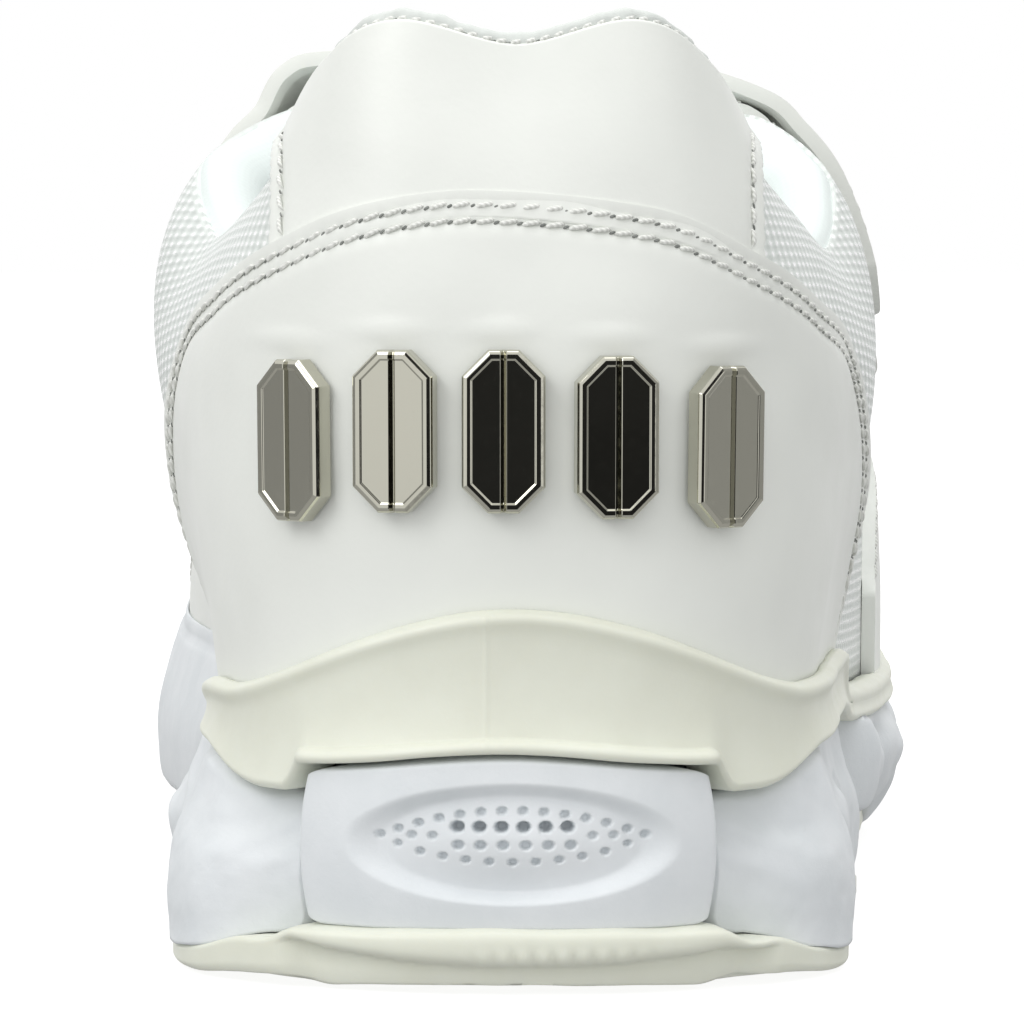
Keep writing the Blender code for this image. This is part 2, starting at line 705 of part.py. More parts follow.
def make_straps():
    for name, ((u_back, u_front), fold_v, end_v, rise) in STRAPS.items():
        def strap_surface(s, t):
            u = u_back + (u_front - u_back) * s
            round_end = 0.05 * (2 * s - 1) ** 4
            return along_path(strap_path(u, fold_v, end_v, rise), t * (1 - round_end))

        strap = mapped_grid(f"{name}_strap", "white_leather", 6, 24, strap_surface)
        orient_outwards(strap)
        add_solidify(strap, STRAP_THICKNESS, 1.0)

        middle = (u_back + u_front) / 2
        outer = medial_offset(fold_v) + STRAP_THICKNESS
        fold = on_last(-middle, fold_v, outer)
        down = (on_last(-middle, fold_v - 0.05, outer) - fold).normalized()
        fold_line = fold + down * STRAP_OPEN_GAP / 2
        set_origin(strap, fold_line)

        per_v = (on_last(-middle, fold_v, 0) - on_last(-middle, fold_v - 0.05, 0)).length / 0.05
        gap_v = STRAP_OPEN_GAP / per_v
        panel(f"{name}_strap_anchor", "white_leather", (-u_back, -u_front),
              constant(fold_v - gap_v - 0.15), constant(fold_v - gap_v),
              medial_offset, STRAP_THICKNESS, 6, 5)

        pad_back, pad_front = u_back + 0.16, u_front - 0.16
        hook = panel(f"{name}_hook_pad", "hook_and_loop", (pad_back, pad_front),
                     constant(end_v + 0.05), constant(0.70), HOOK_OFFSET, 0.7, 5, 4)
        set_origin(hook, fold_line)
        hook.parent = strap
        hook.matrix_parent_inverse = Matrix.Translation(-world(fold_line))
        panel(f"{name}_loop_pad", "hook_and_loop", (pad_back - 0.08, pad_front + 0.08),
              constant(end_v - 0.02), constant(0.71), PAD_OFFSET, 0.9, 5, 4)


# ---------------------------------------------------------------- badges
BADGE_WIDTH, BADGE_HEIGHT, BADGE_THICKNESS = 8.6, 16.8, 2.2
BADGE_CHAMFER = 2.6


def make_badges():
    """Five plain eight-sided chrome plates in a row on the heel, each with an upright groove."""
    for number, (x, z) in enumerate(BADGE_PLACES, 1):
        bm = bmesh.new()
        bmesh.ops.create_cube(bm, size=1.0)
        bmesh.ops.scale(bm, vec=(BADGE_WIDTH, BADGE_THICKNESS, BADGE_HEIGHT), verts=bm.verts)
        corners = [e for e in bm.edges if abs(e.verts[0].co.y - e.verts[1].co.y) > 1.0]
        bmesh.ops.bevel(bm, geom=corners, offset=BADGE_CHAMFER, segments=1, affect="EDGES")
        cut_groove(bm)
        u = badge_u(x)
        v = v_at_height(u, z)
        normal = last_normal(u, v)
        side = Vector((0, 0, 1)).cross(normal).normalized()
        up = normal.cross(side)
        seat = on_last(u, v, PANEL_OFFSET + PANEL_THICKNESS + 0.75 + BADGE_THICKNESS / 2)
        turn = Matrix((side, normal, up)).transposed().to_4x4()
        bm.transform(Matrix.Diagonal((0.001, 0.001, 0.001, 1.0)))
        badge = finish_mesh(f"badge_{number}", bm, "polished_chrome")
        badge.matrix_world = Matrix.Translation(world(seat)) @ turn
        bevel = badge.modifiers.new("edges", "BEVEL")
        bevel.width = 0.00035
        bevel.segments = 1
        bevel.angle_limit = math.radians(40)
        bevel.limit_method = "ANGLE"


def cut_groove(bm):
    """Presses a shallow V groove up the middle of the outer face, which looks along +y here."""
    half, depth = 0.45, 0.8
    for x in (-half, 0.0, half):
        geometry = bm.verts[:] + bm.edges[:] + bm.faces[:]
        bmesh.ops.bisect_plane(bm, geom=geometry, dist=1e-4, plane_co=(x, 0, 0), plane_no=(1, 0, 0))
    for vert in bm.verts:
        if abs(vert.co.x) < 1e-3 and vert.co.y > 0:
            vert.co.y -= depth


def badge_u(x):
    """The u on the heel's back whose panel surface is at x."""
    low, high = -2.5, 2.5
    for _ in range(24):
        middle = (low + high) / 2
        if on_last(middle, 0.45, 2.0).x < x:
            low = middle
        else:
            high = middle
    return (low + high) / 2


# ---------------------------------------------------------------- assembly
def centre_on_origin():
    """Moves every root object so that the origin is the bottom centre of the shoe's box."""
    bpy.context.view_layer.update()
    graph = bpy.context.evaluated_depsgraph_get()
    corners = []
    for obj in bpy.data.collections["cheer_shoe"].objects:
        shown = obj.evaluated_get(graph)
        corners += [shown.matrix_world @ vert.co for vert in shown.data.vertices]
    low = Vector(min(c[i] for c in corners) for i in range(3))
    high = Vector(max(c[i] for c in corners) for i in range(3))
    shift = Vector((-(low.x + high.x) / 2, -(low.y + high.y) / 2, -low.z))
    for obj in bpy.data.collections["cheer_shoe"].objects:
        if obj.parent is None:
            obj.location = obj.location + shift


def main():
    clear_scene()
    new_collection("cheer_shoe")
    for name, (colour, roughness, metallic) in MATERIALS.items():
        make_material(name, colour, roughness, metallic)
    make_sole_cup()
    make_heel_capsule()
    make_heel_pods()
    make_midsole()
    make_outsoles()
    make_shank()
    make_boards()
    make_mesh_upper()
    make_heel_panels()
    make_toe_pieces()
    make_side_panels()
    make_tongue()
    make_straps()
    make_badges()
    centre_on_origin()


main()
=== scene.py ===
"""Looks of the right-foot cheer trainer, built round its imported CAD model.

Pieces are modelled in the CAD's working frame: millimetres, x to the lateral side, y from the back
of the heel to the toe, z up from the floor. to_row() turns that into the row frame, in metres.

Upper pieces are surfaces on the same last as in CAD. A point on it is (u, v): u runs round the
outline from the heel (0) to the toe (14), positive on the lateral side, and v runs from the sole (0)
up to the collar, throat or ridge (1).
"""

import json
import math
from contextlib import contextmanager

import bmesh
import bpy
import numpy as np
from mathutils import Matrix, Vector, kdtree, noise


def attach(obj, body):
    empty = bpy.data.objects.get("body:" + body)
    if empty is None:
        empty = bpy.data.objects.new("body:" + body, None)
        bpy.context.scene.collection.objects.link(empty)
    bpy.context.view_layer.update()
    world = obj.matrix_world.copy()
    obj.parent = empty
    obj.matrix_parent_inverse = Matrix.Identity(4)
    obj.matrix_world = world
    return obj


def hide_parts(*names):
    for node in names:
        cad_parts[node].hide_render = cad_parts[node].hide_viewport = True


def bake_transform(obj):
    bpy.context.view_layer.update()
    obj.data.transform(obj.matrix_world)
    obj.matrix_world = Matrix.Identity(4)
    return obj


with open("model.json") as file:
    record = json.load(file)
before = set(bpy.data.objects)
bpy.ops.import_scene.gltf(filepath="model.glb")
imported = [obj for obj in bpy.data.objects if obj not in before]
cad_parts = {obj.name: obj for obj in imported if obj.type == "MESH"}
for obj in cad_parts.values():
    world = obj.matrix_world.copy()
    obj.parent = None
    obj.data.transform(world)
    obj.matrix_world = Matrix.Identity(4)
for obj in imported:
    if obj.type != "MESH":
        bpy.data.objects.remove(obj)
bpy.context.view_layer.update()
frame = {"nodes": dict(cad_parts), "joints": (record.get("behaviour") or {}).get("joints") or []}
JOINTS = {joint["name"]: joint for joint in frame["joints"]}

# ---------------------------------------------------------------- places shared with the CAD model
TONGUE_FOLD_Y = 136.5
tongue_hinge = JOINTS["tongue_tilt"]["pos_m"]
SHIFT = np.array((tongue_hinge[0] * 1000, tongue_hinge[1] * 1000 - TONGUE_FOLD_Y, 0.0))

TOE = 14
RIDGE_START = 10
HEEL_ROW = (0.0, 7.0, 0.0, 12.0, 98.0, 0.0, 3.2)
LATERAL_ROWS = [
    (14.0, 9.2, 12.0, 13.0, 100.5, 0.0, 3.2),
    (24.0, 17.0, 18.6, 19.0, 96.3, 0.0, 3.6),
    (29.3, 30.0, 23.9, 30.0, 88.0, 0.05, 4.4),
    (31.2, 47.0, 29.6, 46.0, 81.5, 0.1, 5.0),
    (33.0, 66.0, 34.0, 66.0, 77.5, 0.2, 6.4),
    (36.0, 88.0, 35.0, 87.0, 85.8, 0.4, 5.2),
    (39.5, 110.0, 25.5, 109.0, 92.0, 0.7, 3.2),
    (42.5, 134.0, 18.5, 133.0, 86.0, 0.9, 1.8),
    (44.6, 158.0, 15.0, 159.0, 75.5, 1.0, 1.4),
    (44.6, 182.0, -0.5, 176.0, 69.0, 1.0, 0.8),
    (41.6, 206.0, -2.0, 202.0, 59.5, 1.0, 0.4),
    (33.5, 230.0, -3.5, 225.0, 52.0, 1.0, 0.0),
    (18.0, 248.0, -5.0, 240.0, 46.0, 1.0, 0.0),
]
TOE_ROW = (-5.0, 255.5, -5.5, 247.0, 40.5, 1.0, 0.0)
MEDIAL_ROWS = [
    (-14.0, 9.2, -12.0, 13.0, 100.5, 0.0, 3.2),
    (-24.0, 17.0, -18.6, 19.0, 96.3, 0.0, 3.6),
    (-29.3, 30.0, -23.9, 30.0, 88.0, 0.05, 4.6),
    (-30.6, 47.0, -29.4, 46.0, 81.5, 0.1, 5.6),
    (-30.5, 66.0, -33.4, 66.0, 79.0, 0.2, 8.4),
    (-30.0, 88.0, -35.8, 87.0, 87.0, 0.4, 9.2),
    (-30.5, 110.0, -23.5, 109.0, 93.0, 0.7, 8.2),
    (-33.0, 135.0, -17.5, 133.0, 86.0, 0.9, 6.0),
    (-38.4, 160.0, -15.0, 159.0, 75.5, 1.0, 3.4),
    (-42.6, 184.0, -0.5, 176.0, 69.0, 1.0, 1.4),
    (-42.8, 208.0, -2.0, 202.0, 59.5, 1.0, 0.6),
    (-37.6, 231.0, -3.5, 225.0, 52.0, 1.0, 0.0),
    (-25.0, 248.0, -5.0, 240.0, 46.0, 1.0, 0.0),
]
ROW_RING = np.array([HEEL_ROW] + LATERAL_ROWS + [TOE_ROW] + MEDIAL_ROWS[::-1])
FEATHER_LINE = [
    (0, 27.0), (50, 26.6), (85, 23.6), (120, 21.4), (160, 20.0), (195, 20.6), (230, 24.0), (262, 29.0),
]
THROAT_CENTRE = [(92, 97.5), (110, 96.3), (134, 89.5), (158, 79.0), (176, 69.0), (192, 62.5)]
THROAT_EDGE = [(88, 34.0), (109, 24.3), (133, 18.0), (159, 15.0), (176, 12.0), (192, 10.0)]
THROAT_EDGE_HEIGHT = [(88, 84.0), (109, 92.0), (133, 86.3), (159, 75.5), (176, 68.5), (192, 61.5)]

PANEL_OFFSET, PANEL_THICKNESS = 0.45, 1.4
PANEL_TOP = PANEL_OFFSET + PANEL_THICKNESS
CUP_OFFSET, CUP_WALL = 2.3, 2.0
OUTSOLE_THICKNESS = 4.4
CAPSULE_END, POD_START, POD_END = 1.53, 1.57, 5.5
HEEL_CENTRE_U = -0.065     # the capsule, the cup's lip and the rear slab sit slightly to the medial side
STRAP_OFFSET, STRAP_THICKNESS = 3.1, 1.8
STRAPS = {"instep": ((7.1, 8.2), 0.50, 0.44, 2.8), "forefoot": ((8.5, 9.45), 0.46, 0.40, 2.2)}
BADGE_PLACES = [(-22.4, 57.2), (-12.2, 58.4), (-1.2, 58.4), (10.2, 57.8), (21.2, 56.6)]


# ---------------------------------------------------------------- curves and the last
def to_row(points):
    return (np.asarray(points, float) + SHIFT) * 0.001


def smoothstep(low, high, x):
    """From 0 at low up to 1 at high."""
    t = np.clip((np.asarray(x, float) - low) / (high - low), 0.0, 1.0)
    return t * t * (3 - 2 * t)


def fall(low, high, x):
    """From 1 at low down to 0 at high."""
    return 1 - smoothstep(low, high, x)


def hill(x, middle, width):
    """A smooth hill, 1 high."""
    return np.exp(-((x - middle) / width) ** 2)


def near(distance, width):
    """From 1 at an edge down to 0 at a width from it, curved as a rounded edge is."""
    return np.maximum(0.0, 1 - distance / width) ** 2


def between(rise, risen, drop, dropped, x):
    """Up from 0 at rise to 1 at risen, and down again from drop to dropped."""
    return smoothstep(rise, risen, x) * fall(drop, dropped, x)


def unit(vectors):
    return vectors / np.linalg.norm(vectors, axis=-1, keepdims=True)


def curve_at(points, y):
    """Height at y on a smooth curve through (y, z) points, held level past its ends."""
    ys, zs = np.array(points, float).T
    slope = np.empty_like(zs)
    slope[1:-1] = (zs[2:] - zs[:-2]) / (ys[2:] - ys[:-2])
    slope[0] = (zs[1] - zs[0]) / (ys[1] - ys[0]) / 2
    slope[-1] = (zs[-1] - zs[-2]) / (ys[-1] - ys[-2]) / 2
    y = np.clip(y, ys[0], ys[-1])
    i = np.clip(np.searchsorted(ys, y) - 1, 0, len(ys) - 2)
    h = ys[i + 1] - ys[i]
    t = (y - ys[i]) / h
    return (
        (2 * t ** 3 - 3 * t * t + 1) * zs[i] + (t ** 3 - 2 * t * t + t) * h * slope[i]
        + (3 * t * t - 2 * t ** 3) * zs[i + 1] + (t ** 3 - t * t) * h * slope[i + 1]
    )


def catmull_rom(p, q, r, s, t):
    """A smooth curve from q (t = 0) to r (t = 1), with p before them and s after them."""
    bend, twist = 2 * p - 5 * q + 4 * r - s, 3 * q - p - 3 * r + s
    return 0.5 * (2 * q + (r - p) * t + bend * t * t + twist * t ** 3)


def feather(y):
    """Height of the sole's top, where the upper meets it."""
    return curve_at(FEATHER_LINE, y)


def ground(y):
    """Underside of the outsole: a short heel bevel, flat, then the toe spring."""
    return 2.6 * near(y, 20.0) + 9.0 * near(260.0 - y, 70.0)


def row_at(u):
    """The last's rows at each u, smooth round the ring of rows."""
    u = np.asarray(u, float)
    side = np.where(u < 0, -1, 1)
    place = np.minimum(np.abs(u), TOE)
    index = np.minimum(place.astype(int), TOE - 1)
    t = (place - index)[..., None]
    p, q, r, s = (ROW_RING[(side * (index + k)) % len(ROW_RING)] for k in (-1, 0, 1, 2))
    row = catmull_rom(p, q, r, s, t)
    p = np.where((index == RIDGE_START)[..., None], 2 * q - r, p)
    s = np.where((index == TOE - 1)[..., None], 2 * r - q, s)
    ridge = catmull_rom(p, q, r, s, t)
    on_ridge = (index >= RIDGE_START)[..., None]
    row[..., 2:5] = np.where(on_ridge, ridge[..., 2:5], row[..., 2:5])
    return row


def outline(u, out):
    """Plan outline points, moved outwards by out."""
    u, out = np.broadcast_arrays(np.asarray(u, float), np.asarray(out, float))
    step = 0.02
    at_toe = (np.abs(u) > TOE - step)[..., None]
    back = np.where(at_toe, row_at(TOE - step), row_at(u - step))
    front = np.where(at_toe, row_at(step - TOE), row_at(u + step))
    along = unit((front - back)[..., :2])
    here = row_at(u)
    return here[..., 0] + out * along[..., 1], here[..., 1] - out * along[..., 0]


def ring(u, out, z):
    """Points on the outline at u, moved outwards by out, at height z."""
    x, y = outline(u, out)
    return np.stack((x, y, z + 0 * x), axis=-1)


def outline_y(u):
    return row_at(u)[..., 1]


def last_point(u, v):
    """A point of the last: inwards and upwards from its outline to its rim or ridge."""
    u, v = np.broadcast_arrays(np.asarray(u, float), np.asarray(v, float))
    ox, oy, rx, ry, rz, roundness, bulge = np.moveaxis(row_at(u), -1, 0)
    v = np.maximum(0.0, v)
    px, py = outline(u, bulge * np.sin(math.pi * v ** 1.3))
    angle = np.clip(v, 0.0, 1.0) * math.pi / 2
    straight_in, round_in = v ** 1.6, 1 - np.maximum(0.0, np.cos(angle)) ** 0.8
    inward = straight_in + (round_in - straight_in) * roundness
    upward = v + (np.sin(angle) ** 0.8 - v) * roundness
    bottom = feather(oy)
    return np.stack(
        (px + (rx - ox) * inward, py + (ry - oy) * inward, bottom + (rz - bottom) * upward), axis=-1
    )


def last_normal(u, v):
    """Directions out of the last."""
    u, v = np.broadcast_arrays(np.asarray(u, float), np.asarray(v, float))
    du, dv = 0.05, 0.02
    v = np.clip(v, dv, 1 - 2 * dv)
    ahead, behind = ((u + step + TOE) % (2 * TOE) - TOE for step in (du, -du))
    along = last_point(ahead, v) - last_point(behind, v)
    up = last_point(u, v + dv) - last_point(u, v - dv)
    return unit(np.cross(along, up))


def padding(u, v):
    """How far the padded collar swells out of the last."""
    ankle = between(1.6, 3.6, 6.0, 7.4, np.abs(u))
    return 0.5 * ankle * smoothstep(0.45, 0.75, v) * (1 - 0.7 * smoothstep(0.85, 1.0, v))


def skin(u, v, offset=0.0):
    """A point at a distance from the upper's surface."""
    offset = np.asarray(offset, float) + padding(u, v)
    return last_point(u, v) + last_normal(u, v) * offset[..., None]


def v_at_height(u, z):
    low, high = np.zeros_like(u), np.ones_like(u)
    for _ in range(18):
        middle = (low + high) / 2
        below = last_point(u, middle)[..., 2] < z
        low, high = np.where(below, middle, low), np.where(below, high, middle)
    return (low + high) / 2


def wall_point(u, z, offset):
    """A point beside the last at height z: on the last above the feather line, on its outline below."""
    u, z, offset = (np.asarray(a, float) for a in np.broadcast_arrays(u, z, offset))
    v = v_at_height(u, z)
    normal = last_normal(u, v)[..., :2]
    reach = np.linalg.norm(normal, axis=-1)
    flat = normal / reach[..., None] * (offset / np.maximum(0.5, reach))[..., None]
    above = last_point(u, v)[..., :2] + flat
    x, y = outline(u, offset)
    low = z <= feather(outline_y(u))
    return np.stack((np.where(low, x, above[..., 0]), np.where(low, y, above[..., 1]), z), axis=-1)


# ---------------------------------------------------------------- mesh helpers
def add_object(name, data):
    obj = bpy.data.objects.new(name, data)
    bpy.context.scene.collection.objects.link(obj)
    return obj


def set_uvs(mesh, uvs):
    """Gives each corner of each face the UV of its vertex, in mm."""
    layer = mesh.uv_layers.new(name="surface_mm")
    corner = np.empty(len(mesh.loops), np.int32)
    mesh.loops.foreach_get("vertex_index", corner)
    layer.data.foreach_set("uv", uvs[corner].astype(np.float32).ravel())


def new_object(name, verts, faces, uvs=None):
    """A smooth mesh object, from an array of points in row metres."""
    mesh = bpy.data.meshes.new(name)
    mesh.from_pydata(verts.reshape(-1, 3).tolist(), [], faces)
    if uvs is not None:
        set_uvs(mesh, uvs)
    mesh.update()
    mesh.shade_smooth()
    return add_object(name, mesh)


@contextmanager
def edit_mesh(obj):
    """The object's mesh as a BMesh, which is written back at the end."""
    bm = bmesh.new()
    bm.from_mesh(obj.data)
    yield bm
    bm.to_mesh(obj.data)
    bm.free()
    obj.data.shade_smooth()


def mesh_grid(columns, rows, low=0.0, high=1.0):
    return np.meshgrid(np.linspace(low, high, columns), np.linspace(low, high, rows), indexing="ij")


def weld(obj, distance=0.00001):
    with edit_mesh(obj) as bm:
        bmesh.ops.remove_doubles(bm, verts=bm.verts, dist=distance)


def grid_faces(columns, rows, wrap=False):
    """Faces between neighbouring columns of points; wrap joins the end of each column to its start."""
    faces = []
    for a in range(0, (columns - 1) * rows, rows):
        for j in range(rows if wrap else rows - 1):
            up = (j + 1) % rows
            faces.append((a + j, a + rows + j, a + rows + up, a + up))
    return faces


def surface_lengths(points):
    """Distances in mm along both directions of a grid of points, for weaves that follow the surface."""
    along = np.linalg.norm(np.diff(points, axis=0), axis=-1).mean(axis=1)
    up = np.linalg.norm(np.diff(points, axis=1), axis=-1)
    s = np.concatenate(([0.0], np.cumsum(along)))[:, None] + np.zeros(points.shape[1])
    t = np.concatenate((np.zeros((len(points), 1)), np.cumsum(up, axis=1)), axis=1)
    return np.stack((s, t), axis=-1)


def grid(name, points, wrap=False):
    """A surface through a grid of points in working millimetres, with its lengths as UVs."""
    uvs = surface_lengths(points).reshape(-1, 2)
    return new_object(name, to_row(points), grid_faces(*points.shape[:2], wrap), uvs)


def face_outwards(obj):
    """Recalculates a closed mesh's normals so that they point out."""
    with edit_mesh(obj) as bm:
        bmesh.ops.recalc_face_normals(bm, faces=bm.faces)
        if bm.calc_volume(signed=True) < 0:
            bmesh.ops.reverse_faces(bm, faces=bm.faces)


def tube_faces(rings, sides):
    """Faces of a closed tube of rings of points, with a face over each end."""
    faces = [(a, d, c, b) for a, b, c, d in grid_faces(rings, sides, wrap=True)]
    return faces + [tuple(range(sides))[::-1], tuple(range((rings - 1) * sides, rings * sides))]


def loft(name, sections, close_ends=True):
    """A closed skin over sections, each a closed loop of the same number of points."""
    columns, rows = sections.shape[:2]
    faces = grid_faces(columns, rows, wrap=True)
    if close_ends:
        faces += [tuple(range(rows)), tuple(range((columns - 1) * rows, columns * rows))]
    obj = new_object(name, to_row(sections), faces)
    weld(obj)
    face_outwards(obj)
    return obj


def modify(obj, kind, **settings):
    modifier = obj.modifiers.new(kind.lower(), kind)
    for key, value in settings.items():
        setattr(modifier, key, value)


def solidify(obj, thickness, offset=1.0):
    modify(obj, "SOLIDIFY", thickness=thickness * 0.001, offset=offset, use_even_offset=False)


def soften_edges(obj, width, segments=3, angle=50):
    limit = math.radians(angle)
    modify(obj, "BEVEL", width=width * 0.001, segments=segments, limit_method="ANGLE", angle_limit=limit)


def apply_modifiers(obj):
    graph = bpy.context.evaluated_depsgraph_get()
    mesh = bpy.data.meshes.new_from_object(obj.evaluated_get(graph))
    obj.modifiers.clear()
    obj.data = mesh


def move_verts(obj, moves):
    for vert, move in zip(obj.data.vertices, moves):
        vert.co += move
    obj.data.update()


def press_grooves(obj, paths, depth=0.35, width=0.75):
    """Sinks a surface along paths of points, as thread pulls leather in."""
    points = to_row(np.concatenate(paths))
    tree = kdtree.KDTree(len(points))
    for i, point in enumerate(points):
        tree.insert(point, i)
    tree.balance()
    away = [tree.find(vert.co)[2] * 1000 / width for vert in obj.data.vertices]
    sink = [depth * 0.001 * math.exp(-x * x) if x < 3 else 0.0 for x in away]
    move_verts(obj, [vert.normal * -down for vert, down in zip(obj.data.vertices, sink)])


def crease(obj, height, size, seed):
    """Adds slight unevenness, height mm tall and about size mm across."""
    offset = Vector((seed * 7.1, seed * 3.3, seed * 5.7))
    heights = [noise.noise(vert.co * (1000 / size) + offset) for vert in obj.data.vertices]
    move_verts(obj, [vert.normal * (height * 0.001 * up) for vert, up in zip(obj.data.vertices, heights)])


def coat(obj, material):
    obj.data.materials.clear()
    obj.data.materials.append(material)


def keep(obj, body, material, replaces=()):
    """Finishes a piece: its material, the body it rides on (None if it rides on none) and what it stands for.
    """
    coat(obj, material)
    if body:
        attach(obj, body)
    if replaces:
        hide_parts(*replaces)


# ---------------------------------------------------------------- materials
class Shader:
    """A Principled material with short calls to add nodes to it.

    A socket's constant is a keyword: the words of the socket's name, joined by underscores.
    """

    def __init__(self, name, colour, roughness, **constants):
        self.material = bpy.data.materials.new(name)
        self.material.use_nodes = True
        self.material.diffuse_color = (*colour, 1.0)
        self.tree = self.material.node_tree
        self.main = self.tree.nodes["Principled BSDF"]
        constants = {"Base Color": (*colour, 1.0), "Roughness": roughness, **constants}
        for socket, value in constants.items():
            self.main.inputs[socket.replace("_", " ")].default_value = value

    def node(self, kind, values=(), **properties):
        made = self.tree.nodes.new("ShaderNode" + kind)
        for key, value in properties.items():
            setattr(made, key, value)
        for socket, value in dict(values).items():
            if isinstance(value, bpy.types.NodeSocket):
                self.tree.links.new(value, made.inputs[socket])
            else:
                made.inputs[socket].default_value = value
        return made

    def place(self, kind="Object"):
        return self.node("TexCoord").outputs[kind]

    def noise(self, scale, detail=4.0, rough=0.55):
        values = {"Vector": self.place(), "Scale": scale, "Detail": detail, "Roughness": rough}
        return self.node("TexNoise", values).outputs["Fac"]

    def cells(self, scale):
        return self.node("TexVoronoi", {"Vector": self.place(), "Scale": scale}).outputs["Distance"]

    def bands(self, values, direction):
        return self.node("TexWave", values, wave_type="BANDS", bands_direction=direction).outputs["Fac"]

    def math(self, operation, a, b=0.0):
        return self.node("Math", {0: a, 1: b}, operation=operation).outputs[0]

    def range(self, value, low, high, to_low=0.0, to_high=1.0):
        values = {"Value": value, "From Min": low, "From Max": high, "To Min": to_low, "To Max": to_high}
        return self.node("MapRange", values).outputs["Result"]

    def colour(self, factor, *stops):
        """Colours the surface along a ramp of (factor, colour) stops."""
        made = self.node("ValToRGB", {"Fac": factor})
        elements = made.color_ramp.elements
        while len(elements) < len(stops):
            elements.new(0.5)
        for element, (position, colour) in zip(elements, stops):
            element.position = position
            element.color = (*colour, 1.0)
        self.tree.links.new(made.outputs["Color"], self.main.inputs["Base Color"])

    def roughness(self, factor, to_low, to_high, low=0.3, high=0.7):
        rough = self.range(factor, low, high, to_low, to_high)
        self.tree.links.new(rough, self.main.inputs["Roughness"])

    def bump(self, *layers):
        """Stacks (height, strength, distance in mm) layers into the normal."""
        normal = None
        for height, strength, distance in layers:
            values = {"Height": height, "Strength": strength, "Distance": distance * 0.001}
            if normal is not None:
                values["Normal"] = normal
            normal = self.node("Bump", values).outputs["Normal"]
        self.tree.links.new(normal, self.main.inputs["Normal"])


def darker(tint, share):
    return tuple(c * share for c in tint)


def leather(name="white_leather", tint=(0.875, 0.895, 0.85)):
    """Smooth coated leather: faint pebble grain, a few fine creases, slightly uneven gloss."""
    s = Shader(name, tint, 0.42, Specular_IOR_Level=0.45, Coat_Weight=0.06, Coat_Roughness=0.3)
    s.colour(s.noise(45.0, 3.0), (0.35, darker(tint, 0.955)), (0.65, tint))
    s.roughness(s.noise(260.0, 5.0), 0.36, 0.52)
    pebbles, pores, creases = s.cells(1150.0), s.noise(2600.0, 2.0), s.noise(160.0, 6.0, 0.6)
    s.bump((pebbles, 0.10, 0.10), (pores, 0.10, 0.05), (creases, 0.2, 0.26))
    return s.material


def lattice(s, pitch_x, pitch_y, wobble=0.25):
    """A knit's rows on the surface's own lengths: from -1 in each hole to 1 on each stitch."""
    where = s.node("SeparateXYZ", {"Vector": s.place("UV")})
    drift = s.range(s.noise(900.0, 2.0), 0.3, 0.7, -wobble, wobble)
    waves = []
    for axis, pitch in (("X", pitch_x), ("Y", pitch_y)):
        phase = s.math("ADD", s.math("MULTIPLY", where.outputs[axis], 2 * math.pi / pitch), drift)
        waves.append(s.math("COSINE", phase))
    return s.math("MULTIPLY", s.math("ADD", *waves), 0.5)


def mesh_fabric():
    """Open spacer mesh: rows of glossy stitches, each with a painted white highlight on top, over a greyer,
    recessed backing painted darker in its holes as shade.
    """
    s = Shader("white_mesh", (0.82, 0.85, 0.83), 0.5,
               Specular_IOR_Level=0.6, Sheen_Weight=0.25, Sheen_Roughness=0.4)
    dots = lattice(s, 2.6, 1.15)
    hole, backing, yarn, painted_glint = (0.60, 0.64, 0.61), (0.71, 0.75, 0.72), (0.77, 0.81, 0.78), (1.0, 1.0, 1.0)
    # The ramp paints shade into the mesh's holes and a white highlight on top of each stitch.
    s.colour(s.range(dots, -1.0, 1.0), (0.0, hole), (0.45, backing), (0.72, yarn), (0.86, painted_glint))
    s.roughness(dots, 0.75, 0.22, -0.4, 0.8)
    fibres = s.bands({"Vector": s.place("UV"), "Scale": 1.1, "Distortion": 2.0, "Detail": 2.0}, "X")
    s.bump((dots, 0.5, 0.1), (fibres, 0.12, 0.05), (s.noise(2400.0, 2.0), 0.2, 0.06))
    return s.material


def knit_lining(name="lining_fabric", tint=(0.76, 0.82, 0.80)):
    """Soft brushed knit: fine loops, matt, with a light sheen."""
    s = Shader(name, tint, 0.85, Sheen_Weight=0.15, Sheen_Roughness=0.5)
    loops = lattice(s, 0.9, 0.8)
    s.colour(s.range(loops, -1.0, 1.0), (0.1, darker(tint, 0.975)), (0.7, tint))
    s.bump((loops, 0.1, 0.04), (s.noise(420.0, 5.0), 0.3, 0.25), (s.noise(3000.0, 2.0), 0.3, 0.06))
    return s.material


def foam():
    """Painted EVA foam: fine skin texture, tiny pits, cool white."""
    s = Shader("white_foam", (0.79, 0.82, 0.84), 0.55,
               Subsurface_Weight=0.12, Subsurface_Scale=0.002, Subsurface_Radius=(1.0, 1.0, 1.0))
    s.colour(s.noise(90.0, 5.0, 0.6), (0.35, (0.745, 0.78, 0.80)), (0.62, (0.80, 0.83, 0.85)))
    s.roughness(s.noise(700.0), 0.48, 0.66)
    pits = s.range(s.cells(900.0), 0.0, 0.22)
    s.bump((s.noise(1300.0, 6.0, 0.7), 0.35, 0.12), (pits, 0.15, 0.08), (s.noise(120.0, 5.0, 0.6), 0.2, 0.35))
    return s.material


def cream_rubber():
    """Moulded cream rubber: satin, faintly mottled, with fine mould texture."""
    s = Shader("cream_rubber", (0.80, 0.80, 0.71), 0.42, Specular_IOR_Level=0.5,
               Subsurface_Weight=0.1, Subsurface_Scale=0.002, Subsurface_Radius=(1.0, 0.9, 0.7))
    s.colour(s.noise(70.0, 6.0, 0.62), (0.32, (0.77, 0.785, 0.675)), (0.66, (0.815, 0.835, 0.73)))
    s.roughness(s.noise(500.0, 4.0), 0.34, 0.52)
    s.bump((s.noise(1500.0, 5.0, 0.65), 0.16, 0.08), (s.noise(130.0, 4.0), 0.12, 0.3))
    return s.material


